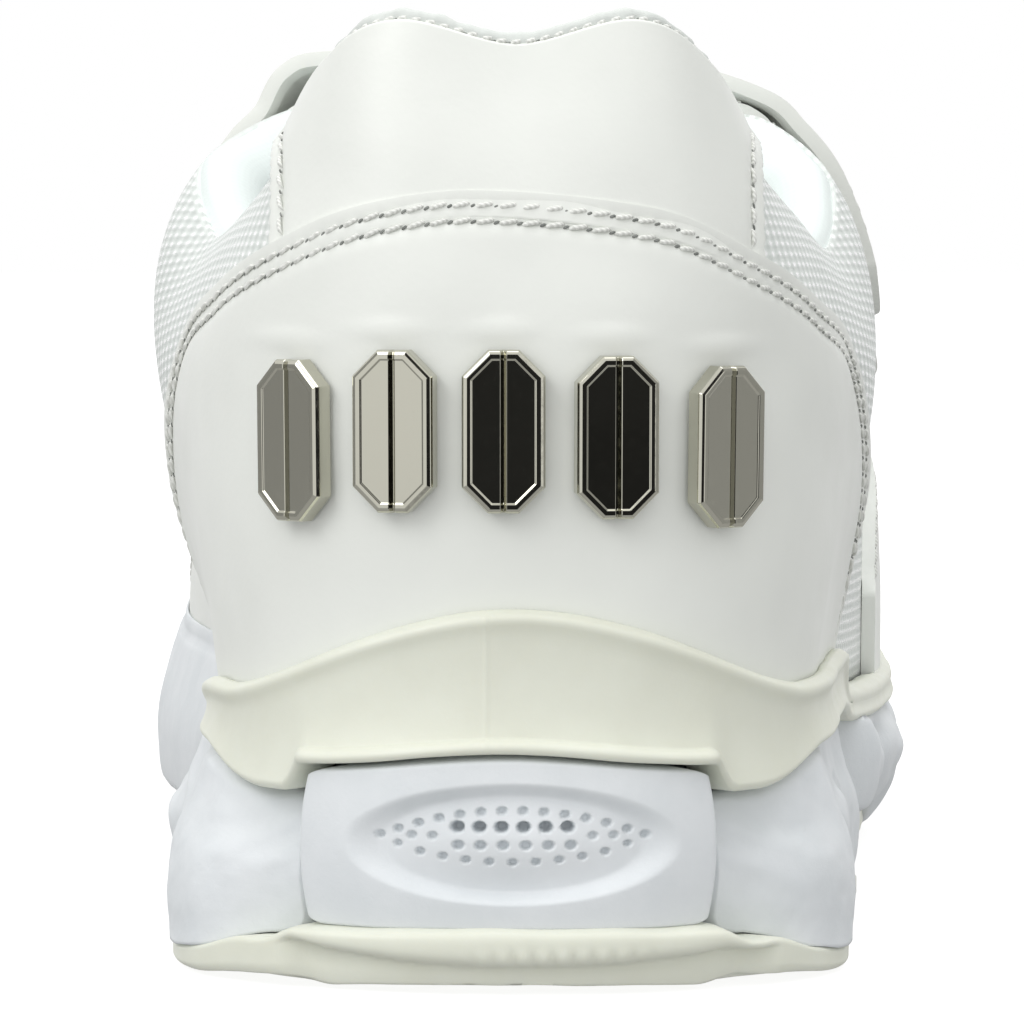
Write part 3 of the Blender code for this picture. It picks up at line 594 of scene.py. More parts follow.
def chrome():
    """Warm nickel-chrome plating with faint polishing waviness and dust."""
    s = Shader("polished_chrome", (0.56, 0.55, 0.47), 0.06, Metallic=1.0)
    s.roughness(s.noise(900.0, 6.0, 0.7), 0.04, 0.14, 0.45, 0.75)
    s.bump((s.noise(140.0, 2.0), 0.05, 0.1), (s.noise(2600.0, 3.0), 0.02, 0.02))
    return s.material


def thread():
    """Twisted white polyester sewing thread."""
    s = Shader("sewing_thread", (0.84, 0.85, 0.80), 0.5, Sheen_Weight=0.3)
    twist = s.bands({"Vector": s.place(), "Scale": 900.0, "Distortion": 0.5}, "DIAGONAL")
    s.colour(twist, (0.2, (0.70, 0.71, 0.67)), (0.8, (0.88, 0.89, 0.85)))
    s.bump((twist, 0.5, 0.08))
    return s.material


# Dark material for small spots at the needle holes: painted shade, standing in for the holes' shadow.
def needle_hole():
    s = Shader("needle_hole", (0.20, 0.21, 0.20), 0.9)
    s.colour(s.noise(800.0), (0.3, (0.14, 0.15, 0.14)), (0.7, (0.32, 0.33, 0.31)))
    return s.material


def napped_tape():
    """Hook-and-loop tape: a field of tiny upright loops."""
    tint = (0.78, 0.79, 0.77)
    s = Shader("hook_and_loop", tint, 0.95, Sheen_Weight=0.6)
    tufts = s.cells(1500.0)
    s.colour(tufts, (0.0, tint), (0.5, darker(tint, 0.62)))
    s.bump((tufts, 0.9, 0.3), (s.noise(2500.0, 3.0), 0.6, 0.2))
    return s.material


def fibre_board():
    s = Shader("stiffener_board", (0.72, 0.69, 0.60), 0.8)
    s.colour(s.noise(600.0, 8.0, 0.75), (0.3, (0.60, 0.57, 0.48)), (0.7, (0.78, 0.75, 0.67)))
    s.bump((s.noise(1800.0, 6.0, 0.7), 0.5, 0.12))
    return s.material


def insole_cloth():
    """Woven insole cover with a plain, slightly cool face."""
    s = Shader("insole_cloth", (0.80, 0.84, 0.84), 0.8, Sheen_Weight=0.3)
    weave = lattice(s, 0.8, 0.8, 0.15)
    s.colour(s.range(weave, -1.0, 1.0), (0.1, (0.66, 0.70, 0.71)), (0.8, (0.84, 0.88, 0.88)))
    s.bump((weave, 0.5, 0.12), (s.noise(300.0, 4.0), 0.2, 0.2))
    return s.material


LEATHER, MESH, LINING, FOAM = leather(), mesh_fabric(), knit_lining(), foam()
STRAP_LEATHER = leather("strap_leather", (0.785, 0.80, 0.755))
RUBBER, CHROME, THREAD, HOLE_SHADE = cream_rubber(), chrome(), thread(), needle_hole()
BINDING = knit_lining("binding_knit", (0.66, 0.69, 0.66))
TAPE, BOARD, INSOLE_CLOTH = napped_tape(), fibre_board(), insole_cloth()


# ---------------------------------------------------------------- stitching
STITCHES = {}       # body name: lists of stitch places, and of the dark spots that paint shade into the needle holes, gathered as panels are made
STITCH_PITCH, STITCH_LENGTH, STITCH_RADIUS = 2.4, 2.15, 0.26
STITCH_SLANT, HOLE_SHADE_SLANT = 0.22, 0.5
HOLE_SHADE_SIZE = (0.34, 0.15, 0.08)     # half sizes of each dark spot of painted hole shade, along, across and out of the leather


def resample(points, normals, pitch):
    """Points, directions and normals at equal steps along a path."""
    lengths = np.concatenate(([0.0], np.cumsum(np.linalg.norm(np.diff(points, axis=0), axis=1))))
    count = max(2, int(lengths[-1] / pitch))
    at = (np.arange(count) + 0.5) * lengths[-1] / count

    def sample(values, where):
        return np.stack([np.interp(where, lengths, values[:, k]) for k in range(3)], axis=1)

    along = sample(points, at + 0.3) - sample(points, at - 0.3)
    return sample(points, at), unit(along), unit(sample(normals, at))


def sew(body, points, normals, pitch=STITCH_PITCH):
    """Adds a row of stitches along a path of surface points to those that ride on a body."""
    where, along, normal = resample(points, normals, pitch)
    STITCHES.setdefault(body, []).append((where, along, normal, pitch))


def thread_shape(sides, rings):
    """A stitch of unit half-length along x: a short thread that dips at both ends."""
    s = np.linspace(-1.0, 1.0, rings)
    width = np.sqrt(np.maximum(0.04, 1 - np.abs(s) ** 4))
    angles = np.arange(sides) * 2 * math.pi / sides
    y = np.outer(width, np.cos(angles)).ravel()
    z = (np.outer(width, np.sin(angles)) - (1.3 * s ** 4)[:, None]).ravel()
    return np.stack((np.repeat(s, sides), y, z), axis=1), tube_faces(rings, sides)


THREAD_SHAPE, THREAD_FACES = thread_shape(sides=6, rings=7)


def stitch_axes(along, normal, slant, length):
    """A stitch's axes: half its length, and its radius twice."""
    along = unit(along + np.cross(normal, along) * slant)
    return along * length / 2, np.cross(normal, along) * STITCH_RADIUS, normal * STITCH_RADIUS


def repeated(name, placed):
    """One object from copies of the stitch, each placed by (origin, (x, y, z axes))."""
    verts = [origin + THREAD_SHAPE @ np.stack(axes) for origin, axes in placed]
    starts = range(0, len(placed) * len(THREAD_SHAPE), len(THREAD_SHAPE))
    faces = [tuple(start + i for i in face) for start in starts for face in THREAD_FACES]
    return new_object(name, to_row(np.concatenate(verts)), faces)


def make_stitching():
    """All the stitches of each body, and the dark spots that paint shade into its needle holes, as one piece
    of each.
    """
    for body, rows in STITCHES.items():
        threads, holes = [], []
        for where, along, normal, pitch in rows:
            length = pitch * STITCH_LENGTH / STITCH_PITCH
            for p, a, n in zip(where, along, normal):
                threads.append((p + n * 0.08, stitch_axes(a, n, STITCH_SLANT, length)))
                # Each needle hole gets a small dark spot just inside the surface: painted shade.
                across = np.cross(n, a)
                tilt = unit(a + across * HOLE_SHADE_SLANT)
                hole = [axis * size for axis, size in zip((tilt, np.cross(n, tilt), n), HOLE_SHADE_SIZE)]
                holes.append((p + a * (pitch / 2) - across * 0.12 - n * 0.02, hole))
        keep(repeated(f"stitching_{body}", threads), body, THREAD)
        keep(repeated(f"needle_holes_{body}", holes), body, HOLE_SHADE)


# ---------------------------------------------------------------- leather panels on the last
def leather_panel(name, place, size, paths=(), material=LEATHER, body="shoe",
                  offset=PANEL_OFFSET, thickness=PANEL_THICKNESS, spacing=0.8, uneven=0.12, replaces=None,
                  relief=None):
    """A leather panel: place(s, t) gives (u, v) arrays and size its length and height in mm.

    paths are sewing lines, each a pair of (u, v) arrays. The outer face is pressed in along them.
    """
    u, v = place(*mesh_grid(*(max(6, int(length / spacing)) for length in size)))
    points = skin(u, v, offset)
    if relief:
        points = points + last_normal(u, v) * relief(points)[..., None]
    obj = grid(name, points)
    sewing = [(skin(*path, offset + thickness - 0.12), last_normal(*path)) for path in paths]
    if uneven:
        crease(obj, uneven, 11.0, len(name))
    if paths:
        press_grooves(obj, [points - normals * thickness for points, normals in sewing])
    for points, normals in sewing:
        sew(body, points, normals)
    solidify(obj, thickness)
    soften_edges(obj, 0.5)
    keep(obj, body, material, replaces or [name])


def line(count=160, s=(0.0, 1.0), t=(0.0, 1.0)):
    """A straight path in a panel's (s, t)."""
    return np.linspace(*s, count), np.linspace(*t, count)


COUNTER_END, COUNTER_SEAM_END = 5.3, 4.95
COUNTER_SEAMS = (1.5, 3.15)     # distances of the two rows of stitches below the edge
COUNTER_ARCH = [
    (-5.3, 28.0), (-4.8, 46.0), (-4.0, 65.5), (-3.0, 72.6), (-2.0, 77.6), (-1.0, 81.7), (-0.3, 82.8),
    (1.0, 81.0), (2.0, 76.2), (3.0, 71.0), (4.0, 64.0), (4.8, 46.0), (5.3, 28.0),
]       # u, height of the counter's top edge


def counter_v(u, below=0.0):
    """v of the counter's top edge, or of a line that runs a distance below it."""
    step = 0.05
    rise = curve_at(COUNTER_ARCH, u + step) - curve_at(COUNTER_ARCH, u - step)
    around = np.linalg.norm(last_point(u + step, 0.5) - last_point(u - step, 0.5), axis=-1)
    return v_at_height(u, curve_at(COUNTER_ARCH, u) - below * np.sqrt(1 + (rise / around) ** 2))


def badge_relief(points):
    """Leather drawn in round each plate, with a small pucker above it."""
    height = 0.0
    for x, z in BADGE_PLACES:
        across, up = points[..., 0] - x, points[..., 2] - z
        height = height - 0.28 * np.exp(-((across / 5.6) ** 4) - (up / 9.6) ** 4)
        height = height + 0.26 * hill(across, -0.5, 3.2) * hill(up, 10.3, 0.9)
    return height


def make_counter():
    """The heel counter: a broad arch of leather with two rows of stitching below its edge."""
    def place(s, t):
        u = (2 * s - 1) * COUNTER_END
        top = counter_v(u[:, 0])[:, None]
        return u, 0.02 + (top - 0.02) * (1 - (1 - t) ** 1.5)

    u = np.linspace(-COUNTER_SEAM_END, COUNTER_SEAM_END, 500)
    rows = [(u, counter_v(u, below)) for below in COUNTER_SEAMS]
    leather_panel("heel_counter_panel", place, (150, 62), rows, spacing=0.62, uneven=0.25,
                  relief=badge_relief)


BACK_PANEL_HALF_WIDTH = 26.3


def make_back_panel():
    """The smooth upper panel behind the collar, with a sewn border down each side."""
    heights = np.linspace(0.6, 1.0, 30)
    u_steps = np.linspace(0.0, 4.0, 60)
    widths = {}
    for side in (1, -1):
        reach = skin(side * u_steps[:, None], heights[None, :], PANEL_TOP)[..., 0] * side
        widths[side] = [np.interp(BACK_PANEL_HALF_WIDTH, column, u_steps) for column in reach.T]

    def place(s, t):
        across = 2 * s - 1
        bottom = counter_v(across.ravel() * 2.2).reshape(s.shape) - 0.04
        v = bottom + (0.998 - bottom) * t
        scallop = 1 + 0.005 * np.abs(across) ** 20 * np.cos(v * 195.0)
        half_width = np.where(across > 0, *(np.interp(v, heights, widths[side]) for side in (1, -1)))
        return half_width * across * scallop, v

    borders = [place(*line(s=(edge, edge), t=(0.14, 0.93))) for edge in (0.035, 0.965)]
    leather_panel("collar_back_panel", place, (66, 32), borders, offset=PANEL_OFFSET - 0.15,
                  uneven=0.3, spacing=0.6)


FACING_START, FACING_LENGTH = 7.15, 2.5     # in u, as are the overlay's
OVERLAY_START, OVERLAY_LENGTH = 8.0, 2.6


def make_side_panels():
    """The throat's facings, and the low curved overlays beside the ball of the foot."""
    for side, word in ((1, "lateral"), (-1, "medial")):
        def facing(s, t, side=side):
            share = s if side > 0 else 1 - s
            place = FACING_START + FACING_LENGTH * share
            round_ends = 0.05 * smoothstep(9.0, 9.65, place) + 0.12 * fall(FACING_START, 7.7, place)
            low = 0.74 + round_ends + 0.03 * np.sin(math.pi * share)
            return side * place, low + (0.985 - low) * t

        borders = [facing(*line(t=(t, t))) for t in (0.12, 0.88)]
        leather_panel(f"throat_facing_{word}", facing, (72, 14), borders)

        def overlay(s, t, side=side):
            share = s if side > 0 else 1 - s
            high = 0.07 + 0.20 * np.sin(math.pi * share ** 0.8) ** 1.4
            return side * (OVERLAY_START + OVERLAY_LENGTH * share), high * t

        border = overlay(*line(s=(0.04, 0.96), t=(0.9, 0.9)))
        leather_panel(f"side_overlay_{word}", overlay, (84, 22), [border], offset=0.05, thickness=1.7)


TOE_CAP_START = 10.5


def make_toe_cap():
    """The toe cap, from the lateral side round the tip of the toe to the medial side."""
    def place(s, t):
        ahead = TOE_CAP_START + 2 * (TOE - TOE_CAP_START) * s
        u = np.where(ahead <= TOE, ahead, ahead - 2 * TOE)
        high = feather(outline_y(u)) + 5.0 + 7.0 * np.sin(math.pi * s) ** 0.7
        return u, v_at_height(u, high) * t

    rows = [place(*line(300, s=(0.02, 0.98), t=(t, t))) for t in (0.93, 0.86)]
    leather_panel("toe_cap", place, (150, 26), rows)


# ---------------------------------------------------------------- the mesh bootee and collar
THROAT_END = 9.7


def rim_v(u):
    """v where the mesh's outer face ends: below the collar's roll, and on the ridge over the toes."""
    return 0.965 + 0.035 * smoothstep(THROAT_END, RIDGE_START, np.abs(u))


def smooth_toe(obj):
    """Rounds the ridge over the toes, where the two sides of the mesh meet."""
    _, back, low = to_row((0.0, 196.0, 41.0))
    with edit_mesh(obj) as bm:
        verts = [vert for vert in bm.verts if vert.co.y > back and vert.co.z > low and not vert.is_boundary]
        for _ in range(25):
            bmesh.ops.smooth_vert(
                bm, verts=verts, factor=0.5, use_axis_x=True, use_axis_y=True, use_axis_z=True
            )


MESH_THICKNESS = 0.9


def make_mesh_upper():
    u, t = np.meshgrid(np.linspace(-TOE, TOE, 420), np.linspace(0, 1, 56), indexing="ij")
    obj = grid("mesh_bootee", skin(u, rim_v(u) * t))
    weld(obj, 0.00002)
    smooth_toe(obj)
    solidify(obj, MESH_THICKNESS, -1.0)
    keep(obj, "shoe", MESH, ["mesh_upper"])


COLLAR_PAD, THROAT_PAD, LINING_PAD = 8.4, 3.0, 3.4     # padding behind the ankle, at the throat, lower down
COLLAR_LOW_V, COLLAR_CLOTH = 0.07, 0.5


def make_collar():
    """The padded collar: lining cloth that starts outside, rolls over the rim and runs down inside."""
    u = np.linspace(-9.85, 9.85, 300)
    rim, place = rim_v(u), np.abs(u)
    depth = COLLAR_PAD - (COLLAR_PAD - THROAT_PAD) * smoothstep(7.0, 8.2, place)
    height = 3.4 - 1.4 * smoothstep(5.6, 6.6, place) - 0.9 * smoothstep(6.9, 8.0, place)
    base = skin(u, rim, -0.45)
    normal = last_normal(u, rim)
    up = unit(last_point(u, rim) - last_point(u, rim - 0.03))
    columns = [skin(u, rim - 0.05 * (1 - k / 3), -0.5) for k in range(3)]
    for angle in np.linspace(0.0, math.pi, 22):
        inward = (depth / 2 * (1 - math.cos(angle)))[:, None] * normal
        columns.append(base - inward + (height * math.sin(angle) ** 0.8)[:, None] * up)
    for k in range(1, 46):
        v = rim + (COLLAR_LOW_V - rim) * k / 45
        padded = smoothstep(0.42, 0.64, v)
        belly = 0.9 * np.sin(math.pi * smoothstep(0.5, 1.0, v))
        columns.append(skin(u, v, -0.45 - (LINING_PAD + (depth + belly - LINING_PAD) * padded)))
    obj = grid("padded_collar", np.stack(columns, axis=1))
    crease(obj, 0.5, 9.0, 3)
    solidify(obj, COLLAR_CLOTH, -1.0)
    keep(obj, "shoe", LINING, ["heel_lining", "collar_foam"])


BINDING_END, BINDING_STITCH = 3.35, 1.5


def make_binding():
    """The round knitted binding along the top edge of the back panel, sewn down with short stitches."""
    u = np.linspace(-BINDING_END, BINDING_END, 260)
    out = last_normal(u, 0.96)
    up = unit(last_point(u, 1.0) - last_point(u, 0.96))
    ends = np.sqrt(1 - (np.abs(u) / (BINDING_END + 0.01)) ** 12)[:, None]
    middle = skin(u, 1.0, 0.55) + up * 0.3
    angles = np.arange(16) * 2 * math.pi / 16
    columns = [middle + ends * (out * 0.85 * math.cos(a) + up * 0.9 * math.sin(a)) for a in angles]
    obj = grid("collar_binding", np.stack(columns, axis=1), wrap=True)
    crease(obj, 0.25, 1.6, 8)
    keep(obj, "shoe", BINDING)
    inner = np.abs(u) < BINDING_END - 0.25
    sew("shoe", (middle + out * 0.7 - up * 0.3)[inner], out[inner], BINDING_STITCH)


# ---------------------------------------------------------------- tongue
def signed_power(x, power):
    return np.sign(x) * np.abs(x) ** power


def tongue_section(y, across):
    """Height of the tongue's outer face at y, across from -1 to 1."""
    crown, edge = curve_at(THROAT_CENTRE, y), curve_at(THROAT_EDGE_HEIGHT, y) - 0.4
    return crown + (edge - crown) * across ** 2 - 4.2 * smoothstep(146, 166, y)


def make_tongue():
    """One padded tongue in one piece, its crown dropping towards the front where its upper part folds
    forward.
    """
    y = np.linspace(94.5, 185.0, 120)
    angles = np.linspace(0, 2 * math.pi, 64, endpoint=False)
    end = np.minimum(1.0, np.minimum((y - 94.0) / 5.0, (186.0 - y) / 5.0))
    fill = np.sqrt(np.maximum(0.02, 1 - (1 - end) ** 2))
    half = np.minimum(22.5, curve_at(THROAT_EDGE, y) - 2.6) * (0.82 + 0.18 * fill)
    quilt = 0.5 * np.abs(np.sin(math.pi * (y - 94.0) / 13.0)) ** 0.5
    pad = (2.7 + quilt) * fill
    across, lift = signed_power(np.cos(angles), 0.75), signed_power(np.sin(angles), 0.8)
    x, y = half[:, None] * across, y[:, None]
    z = tongue_section(y, across) - 2.9 + pad[:, None] * lift * (1 - 0.35 * across ** 8)
    obj = loft("padded_tongue", np.stack((x, y + 0 * x, z), axis=-1))
    set_uvs(obj.data, np.array([vert.co[:2] for vert in obj.data.vertices]) * 1000)
    crease(obj, 0.35, 8.0, 5)
    start, end = to_row((0, 141.0, 88.0)), to_row((0, 132.0, 90.0))
    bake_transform(obj)
    keep(obj, None, LINING, ["tongue_base", "tongue_flap"])


# ---------------------------------------------------------------- straps
def medial_offset(v):
    """A strap's distance from the last on the medial side: close, then over the throat's facing."""
    return 0.8 + 1.8 * smoothstep(0.54, 0.7, v)


def lateral_offset(v):
    """The same on the lateral side: over the hook and loop tapes, then closer over the facing."""
    return STRAP_OFFSET - 0.5 * smoothstep(0.72, 0.86, v)


def strap_line(u, fold_v, end_v, rise):
    """Points of a strap's line at |u| = u: medial anchor, up over the throat, down to the lateral end."""
    anchor_v = np.linspace(fold_v - 0.16, fold_v, 4)[:-1]
    medial_v = np.concatenate((anchor_v, fold_v + (0.86 - fold_v) * np.arange(6) / 5))
    lateral_v = end_v + (0.93 - end_v) * np.arange(6) / 5
    medial = last_point(-u, medial_v) + last_normal(-u, medial_v) * medial_offset(medial_v)[:, None]
    lateral = last_point(u, lateral_v) + last_normal(u, lateral_v) * lateral_offset(lateral_v)[:, None]
    (x, medial_y, z), (far_x, lateral_y, far_z) = medial[-1], lateral[-1]
    y = (medial_y + lateral_y) / 2
    top = max(float(curve_at(THROAT_CENTRE, y)) + 1.6, (z + far_z) / 2 + rise)
    arch = [(0.91 * x, y, z + 0.72 * (top - z)), (0.72 * x, y, z + 0.95 * (top - z)),
            (0.0, y, top), (0.62 * far_x, y, top - 1.8)]
    return np.concatenate((medial, arch, lateral[::-1]))


def along_line(points, shares):
    """Points at shares of the way along a smooth curve through points."""
    place = np.clip(shares, 0.0, 1.0) * (len(points) - 1)
    index = np.minimum(place.astype(int), len(points) - 2)
    padded = np.concatenate((2 * points[:1] - points[1:2], points, 2 * points[-1:] - points[-2:-1]))
    p, q, r, s = (padded[index + k] for k in range(4))
    return catmull_rom(p, q, r, s, (place - index)[:, None])


def make_strap(name):
    """One strap: sewn leather that starts at its medial anchor, with a rounded lateral end."""
    (u_back, u_front), fold_v, end_v, rise = STRAPS[name]
    columns, count = 30, 170
    surface = []
    for s in np.linspace(0, 1, columns):
        stop, begin = 1 - 0.05 * abs(2 * s - 1) ** 3.5, 0.012 * abs(2 * s - 1) ** 6
        points = strap_line(u_back + (u_front - u_back) * s, fold_v, end_v, rise)
        surface.append(along_line(points, np.linspace(begin, stop, count)))
    surface = np.stack(surface)
    obj = grid(f"{name}_strap_leather", surface[::-1])
    crease(obj, 0.25, 10.0, 11)

    # Sewing lines run 2.3 mm inside the edge, all the way round.
    normal = unit(np.cross(np.gradient(surface, axis=1), np.gradient(surface, axis=0)))
    outer = surface + normal * (STRAP_THICKNESS - 0.1)
    long_way, across = slice(6, -5), slice(2, -2)
    edges = [(2, long_way), (-3, long_way), (across, -5), (across, 6)]
    rows = [(outer[edge], normal[edge]) for edge in edges]
    press_grooves(obj, [points - n * (STRAP_THICKNESS - 0.1) for points, n in rows], 0.4, 0.7)
    solidify(obj, STRAP_THICKNESS)
    soften_edges(obj, 0.6)
    apply_modifiers(obj)
    stitches = [(p, stitch_axes(a, n, 0.0, STITCH_LENGTH)) for row in rows
                for p, a, n in zip(*resample(*row, STITCH_PITCH))]
    threads = repeated(f"{name}_strap_thread", stitches)

    for piece in (obj, threads):
        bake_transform(piece)
    keep(obj, None, STRAP_LEATHER, [f"{name}_strap", f"{name}_strap_anchor"])
    keep(threads, None, THREAD)


def make_tapes(name):
    """The strap's hook tape and the loop tape sewn under it."""
    (u_back, u_front), _, end_v, _ = STRAPS[name]
    size = (30, 22) if name == "instep" else (22, 22)

    def tape(kind, margin, v_low, v_high, body, offset, thickness):
        def place(s, t):
            return u_back + margin + (u_front - u_back - 2 * margin) * s, v_low + (v_high - v_low) * t

        leather_panel(f"{name}_{kind}_tape", place, size, material=TAPE, body=body,
                      offset=offset, thickness=thickness, uneven=0.0, replaces=[f"{name}_{kind}_pad"])

    tape("hook", 0.16, end_v + 0.05, 0.70, f"{name}_strap", 2.0, 0.7)
    tape("loop", 0.08, end_v - 0.02, 0.71, "shoe", 0.5, 0.9)


# ---------------------------------------------------------------- the sole
def lateral_waist(u):
    """Where the cup is a low band between the heel and the toe, on the lateral side."""
    return between(5.0, 6.0, 9.5, 11.5, u)


def medial_cover(u):
    """Where the foam wall covers the cup, on the medial side of the forefoot."""
    return between(6.0, 6.8, 11.2, 12.4, -u)


def cup_top(u):
    place = np.abs(u)
    wave = 30.8 + 9.3 * fall(0.0, 2.6, place) - 3.2 * smoothstep(2.9, 4.3, -u)
    band = feather(outline_y(u)) + 2.4 - 1.6 * lateral_waist(u) + 3.5 * smoothstep(12.0, 14.0, place)
    return wave + (band - wave) * smoothstep(4.8, 6.0, place)


def heel_place(u):
    """Distance in u from the middle of the rear capsule."""
    return np.abs(u - HEEL_CENTRE_U)


def cup_bottom(u):
    place = heel_place(u)
    lobe = between(1.42, 1.62, 1.85, 2.9, place)
    heel = 23.7 + 1.5 * fall(0.0, 1.4, place) - 3.2 * lobe + 0.6 * smoothstep(2.6, 4.0, place)
    front = feather(outline_y(u)) - 4.4 + 1.1 * lateral_waist(u)
    return heel + (front - heel) * smoothstep(4.6, 6.2, place)


def rim_offset(u):
    """Distance out of the inner side of the cup's rim: close to the mesh, or outside a leather panel."""
    place = np.abs(u)
    return 1.95 - 1.75 * between(5.15, 5.4, 7.8, 8.1, place)


# Heights of the cup's close rows of points, above its lower edge and below its top edge.
LIP_STEPS = (0.0, 0.08, 0.2, 0.38, 0.6, 0.82, 1.02, 1.2, 1.36, 1.48, 1.58, 1.75, 2.05)
RIM_STEPS = (2.0, 1.6, 1.25, 0.95, 0.7, 0.5, 0.33, 0.2, 0.08, 0.0)


def make_cup():
    """The cream rubber cup: wavy rounded top edge, a bead over the rear capsule, faint mould line."""
    line_u = -0.2
    near_line = line_u + np.array((-0.03, -0.012, 0.0, 0.012, 0.03))
    u = np.unique(np.concatenate((np.linspace(-TOE, TOE, 521), near_line)))
    top, bottom = cup_top(u), cup_bottom(u)
    over_capsule = fall(1.4, 1.5, heel_place(u))
    mould_line = 0.07 * hill(u, line_u, 0.015)
    heel = fall(5.0, 6.0, np.abs(u))
    hidden = medial_cover(u)
    between = [bottom + 2.05 + (top - bottom - 4.05) * k / 12 for k in range(1, 12)]
    heights = [bottom + step for step in LIP_STEPS] + between + [top - step for step in RIM_STEPS]
    profile = []
    for z in heights:
        up, down = z - bottom, top - z
        share = up / (top - bottom)
        out = CUP_OFFSET + CUP_WALL * (1 - 0.35 * share) + 0.7 * (1 - share) ** 3
        bead = 1.15 * np.sqrt(np.maximum(0.0, 1 - ((up - 0.78) / 0.8) ** 2))
        out = out + over_capsule * bead - (1 - over_capsule) * near(up, 0.9)
        out = out + 0.45 * hill(down, 1.2, 0.8) - near(down, 0.8)
        out = out - 0.45 * heel * np.sin(math.pi * share) + mould_line
        out = out - 1.1 * lateral_waist(u) - 0.5 * smoothstep(2.5, 4.0, -u) * (1 - share) ** 2
        profile.append(wall_point(u, z, 0.35 + (out - 0.35) * (1 - hidden)))
    for share in (1.0, 0.6, 0.0):
        z = np.maximum(feather(outline_y(u)) - 0.2, 0) * (1 - share) + (top - 0.1) * share
        profile.append(wall_point(u, z, 0.1 + (rim_offset(u) - 0.1) * (1 - hidden)))
    profile.append(wall_point(u, bottom + 0.6, -2.0))
    profile.append(wall_point(u, bottom, -1.5))
    obj = loft("rubber_cup", np.stack(profile, axis=1), close_ends=False)
    crease(obj, 0.12, 7.0, 41)
    keep(obj, "shoe", RUBBER, ["sole_cup"])


BLOCK_DEPTH = 6.0


def rounded_square(a, b, power):
    """Points of the square -1..1 pulled into a square with rounded corners."""
    reach = np.maximum(np.abs(a), np.abs(b))
    safe = np.where(reach > 0, reach, 1.0)
    shrink = ((np.abs(a) / safe) ** power + (np.abs(b) / safe) ** power) ** (-1 / power)
    return a * shrink, b * shrink


def block(name, u, z, out):
    """A closed foam block: a shaped outer face over (u, z), with plain sides and a plain back."""
    columns, rows = u.shape
    index = np.arange(columns * rows).reshape(columns, rows)
    rim = np.concatenate((index[:, 0], index[-1, 1:], index[-2::-1, -1], index[0, -2:0:-1])).tolist()
    back = ring(u.ravel()[rim], -BLOCK_DEPTH, z.ravel()[rim])
    first, count = columns * rows, len(rim)
    faces = grid_faces(columns, rows)
    faces += [(rim[i], rim[(i + 1) % count], first + (i + 1) % count, first + i) for i in range(count)]
    faces.append(tuple(range(first, first + count)))
    obj = new_object(name, to_row(np.concatenate((ring(u, out, z).reshape(-1, 3), back))), faces)
    face_outwards(obj)
    return obj


def capsule_holes():
    """The small round holes in the capsule's hollow: (x, z, radius, depth), in four curved rows."""
    holes = [(x, 19.3 - 2.0 * (x / 12) ** 2, 0.50, 0.9) for x in np.linspace(-12.0, 12.0, 12)]
    holes += [(x, 17.65, 0.66, 2.4) for x in np.linspace(-5.7, 5.7, 6)]
    holes += [(side * x, 16.7, 0.48, 0.8) for side in (-1, 1) for x in (8.3, 10.5, 13.9)]
    holes += [(x, 15.8, 0.56, 1.1) for x in np.linspace(-5.6, 6.0, 6)]
    holes += [(-12.0, 15.8, 0.42, 0.8), (12.0, 15.8, 0.42, 0.8)]
    holes += [(x, 14.05 + (x / 9.6) ** 2, 0.46, 0.9) for x in np.linspace(-9.6, 9.6, 9)]
    return holes


CAPSULE_LOW, HOLLOW_Z = 6.4, 15.9     # the capsule's lower edge and the middle of its hollow


def recess(x, z, half_x, half_z, depth, wall):
    """Depth of a lens-shaped hollow with a sloping wall."""
    reach = np.hypot(x / half_x, (z - HOLLOW_Z) / half_z)
    return depth * fall(1 - wall, 1.0, reach)


def make_capsule():
    """The crowned rear capsule with its oval hollow and rows of small holes."""
    a, b = rounded_square(*mesh_grid(300, 130, -1), 6.5)
    u = HEEL_CENTRE_U + a * CAPSULE_END * (1 - 0.035 * b ** 2)
    low, high = CAPSULE_LOW, cup_bottom(u) - 0.1
    z = low + (high - low) * (b + 1) / 2
    x = outline(u, 5.0)[0] + 0.3
    reach = np.maximum(np.abs(a), np.abs(b))
    out = 6.1 - 1.4 * a ** 4 - 0.9 * b ** 2 - 2.6 * smoothstep(0.9, 1.0, reach) ** 2
    out = out - recess(x, z, 17.4, 6.4, 1.7, 0.24) + recess(x, z, 16.0, 5.4, 1.2, 0.95)
    for hole_x, hole_z, radius, depth in capsule_holes():
        away = np.hypot((x - hole_x) / 1.25, z - hole_z)
        out = out - depth * fall(radius * 0.6, radius, away)
    keep(block("rear_capsule", u, z, out), "shoe", FOAM, ["heel_capsule"])


def heel_corner(u):
    """How far the pods and the outsole stand out at the heel's corners, which are squarer than the last."""
    return np.where(u > 0, 1.6, 2.4) * hill(np.abs(u), 2.6, 0.7) - 1.8 * smoothstep(2.6, 3.4, u)


POD_PROFILE = [(0.0, 6.0), (0.25, 6.4), (0.5, 6.1), (0.72, 4.4), (1.0, 2.9)]    # height share, distance out


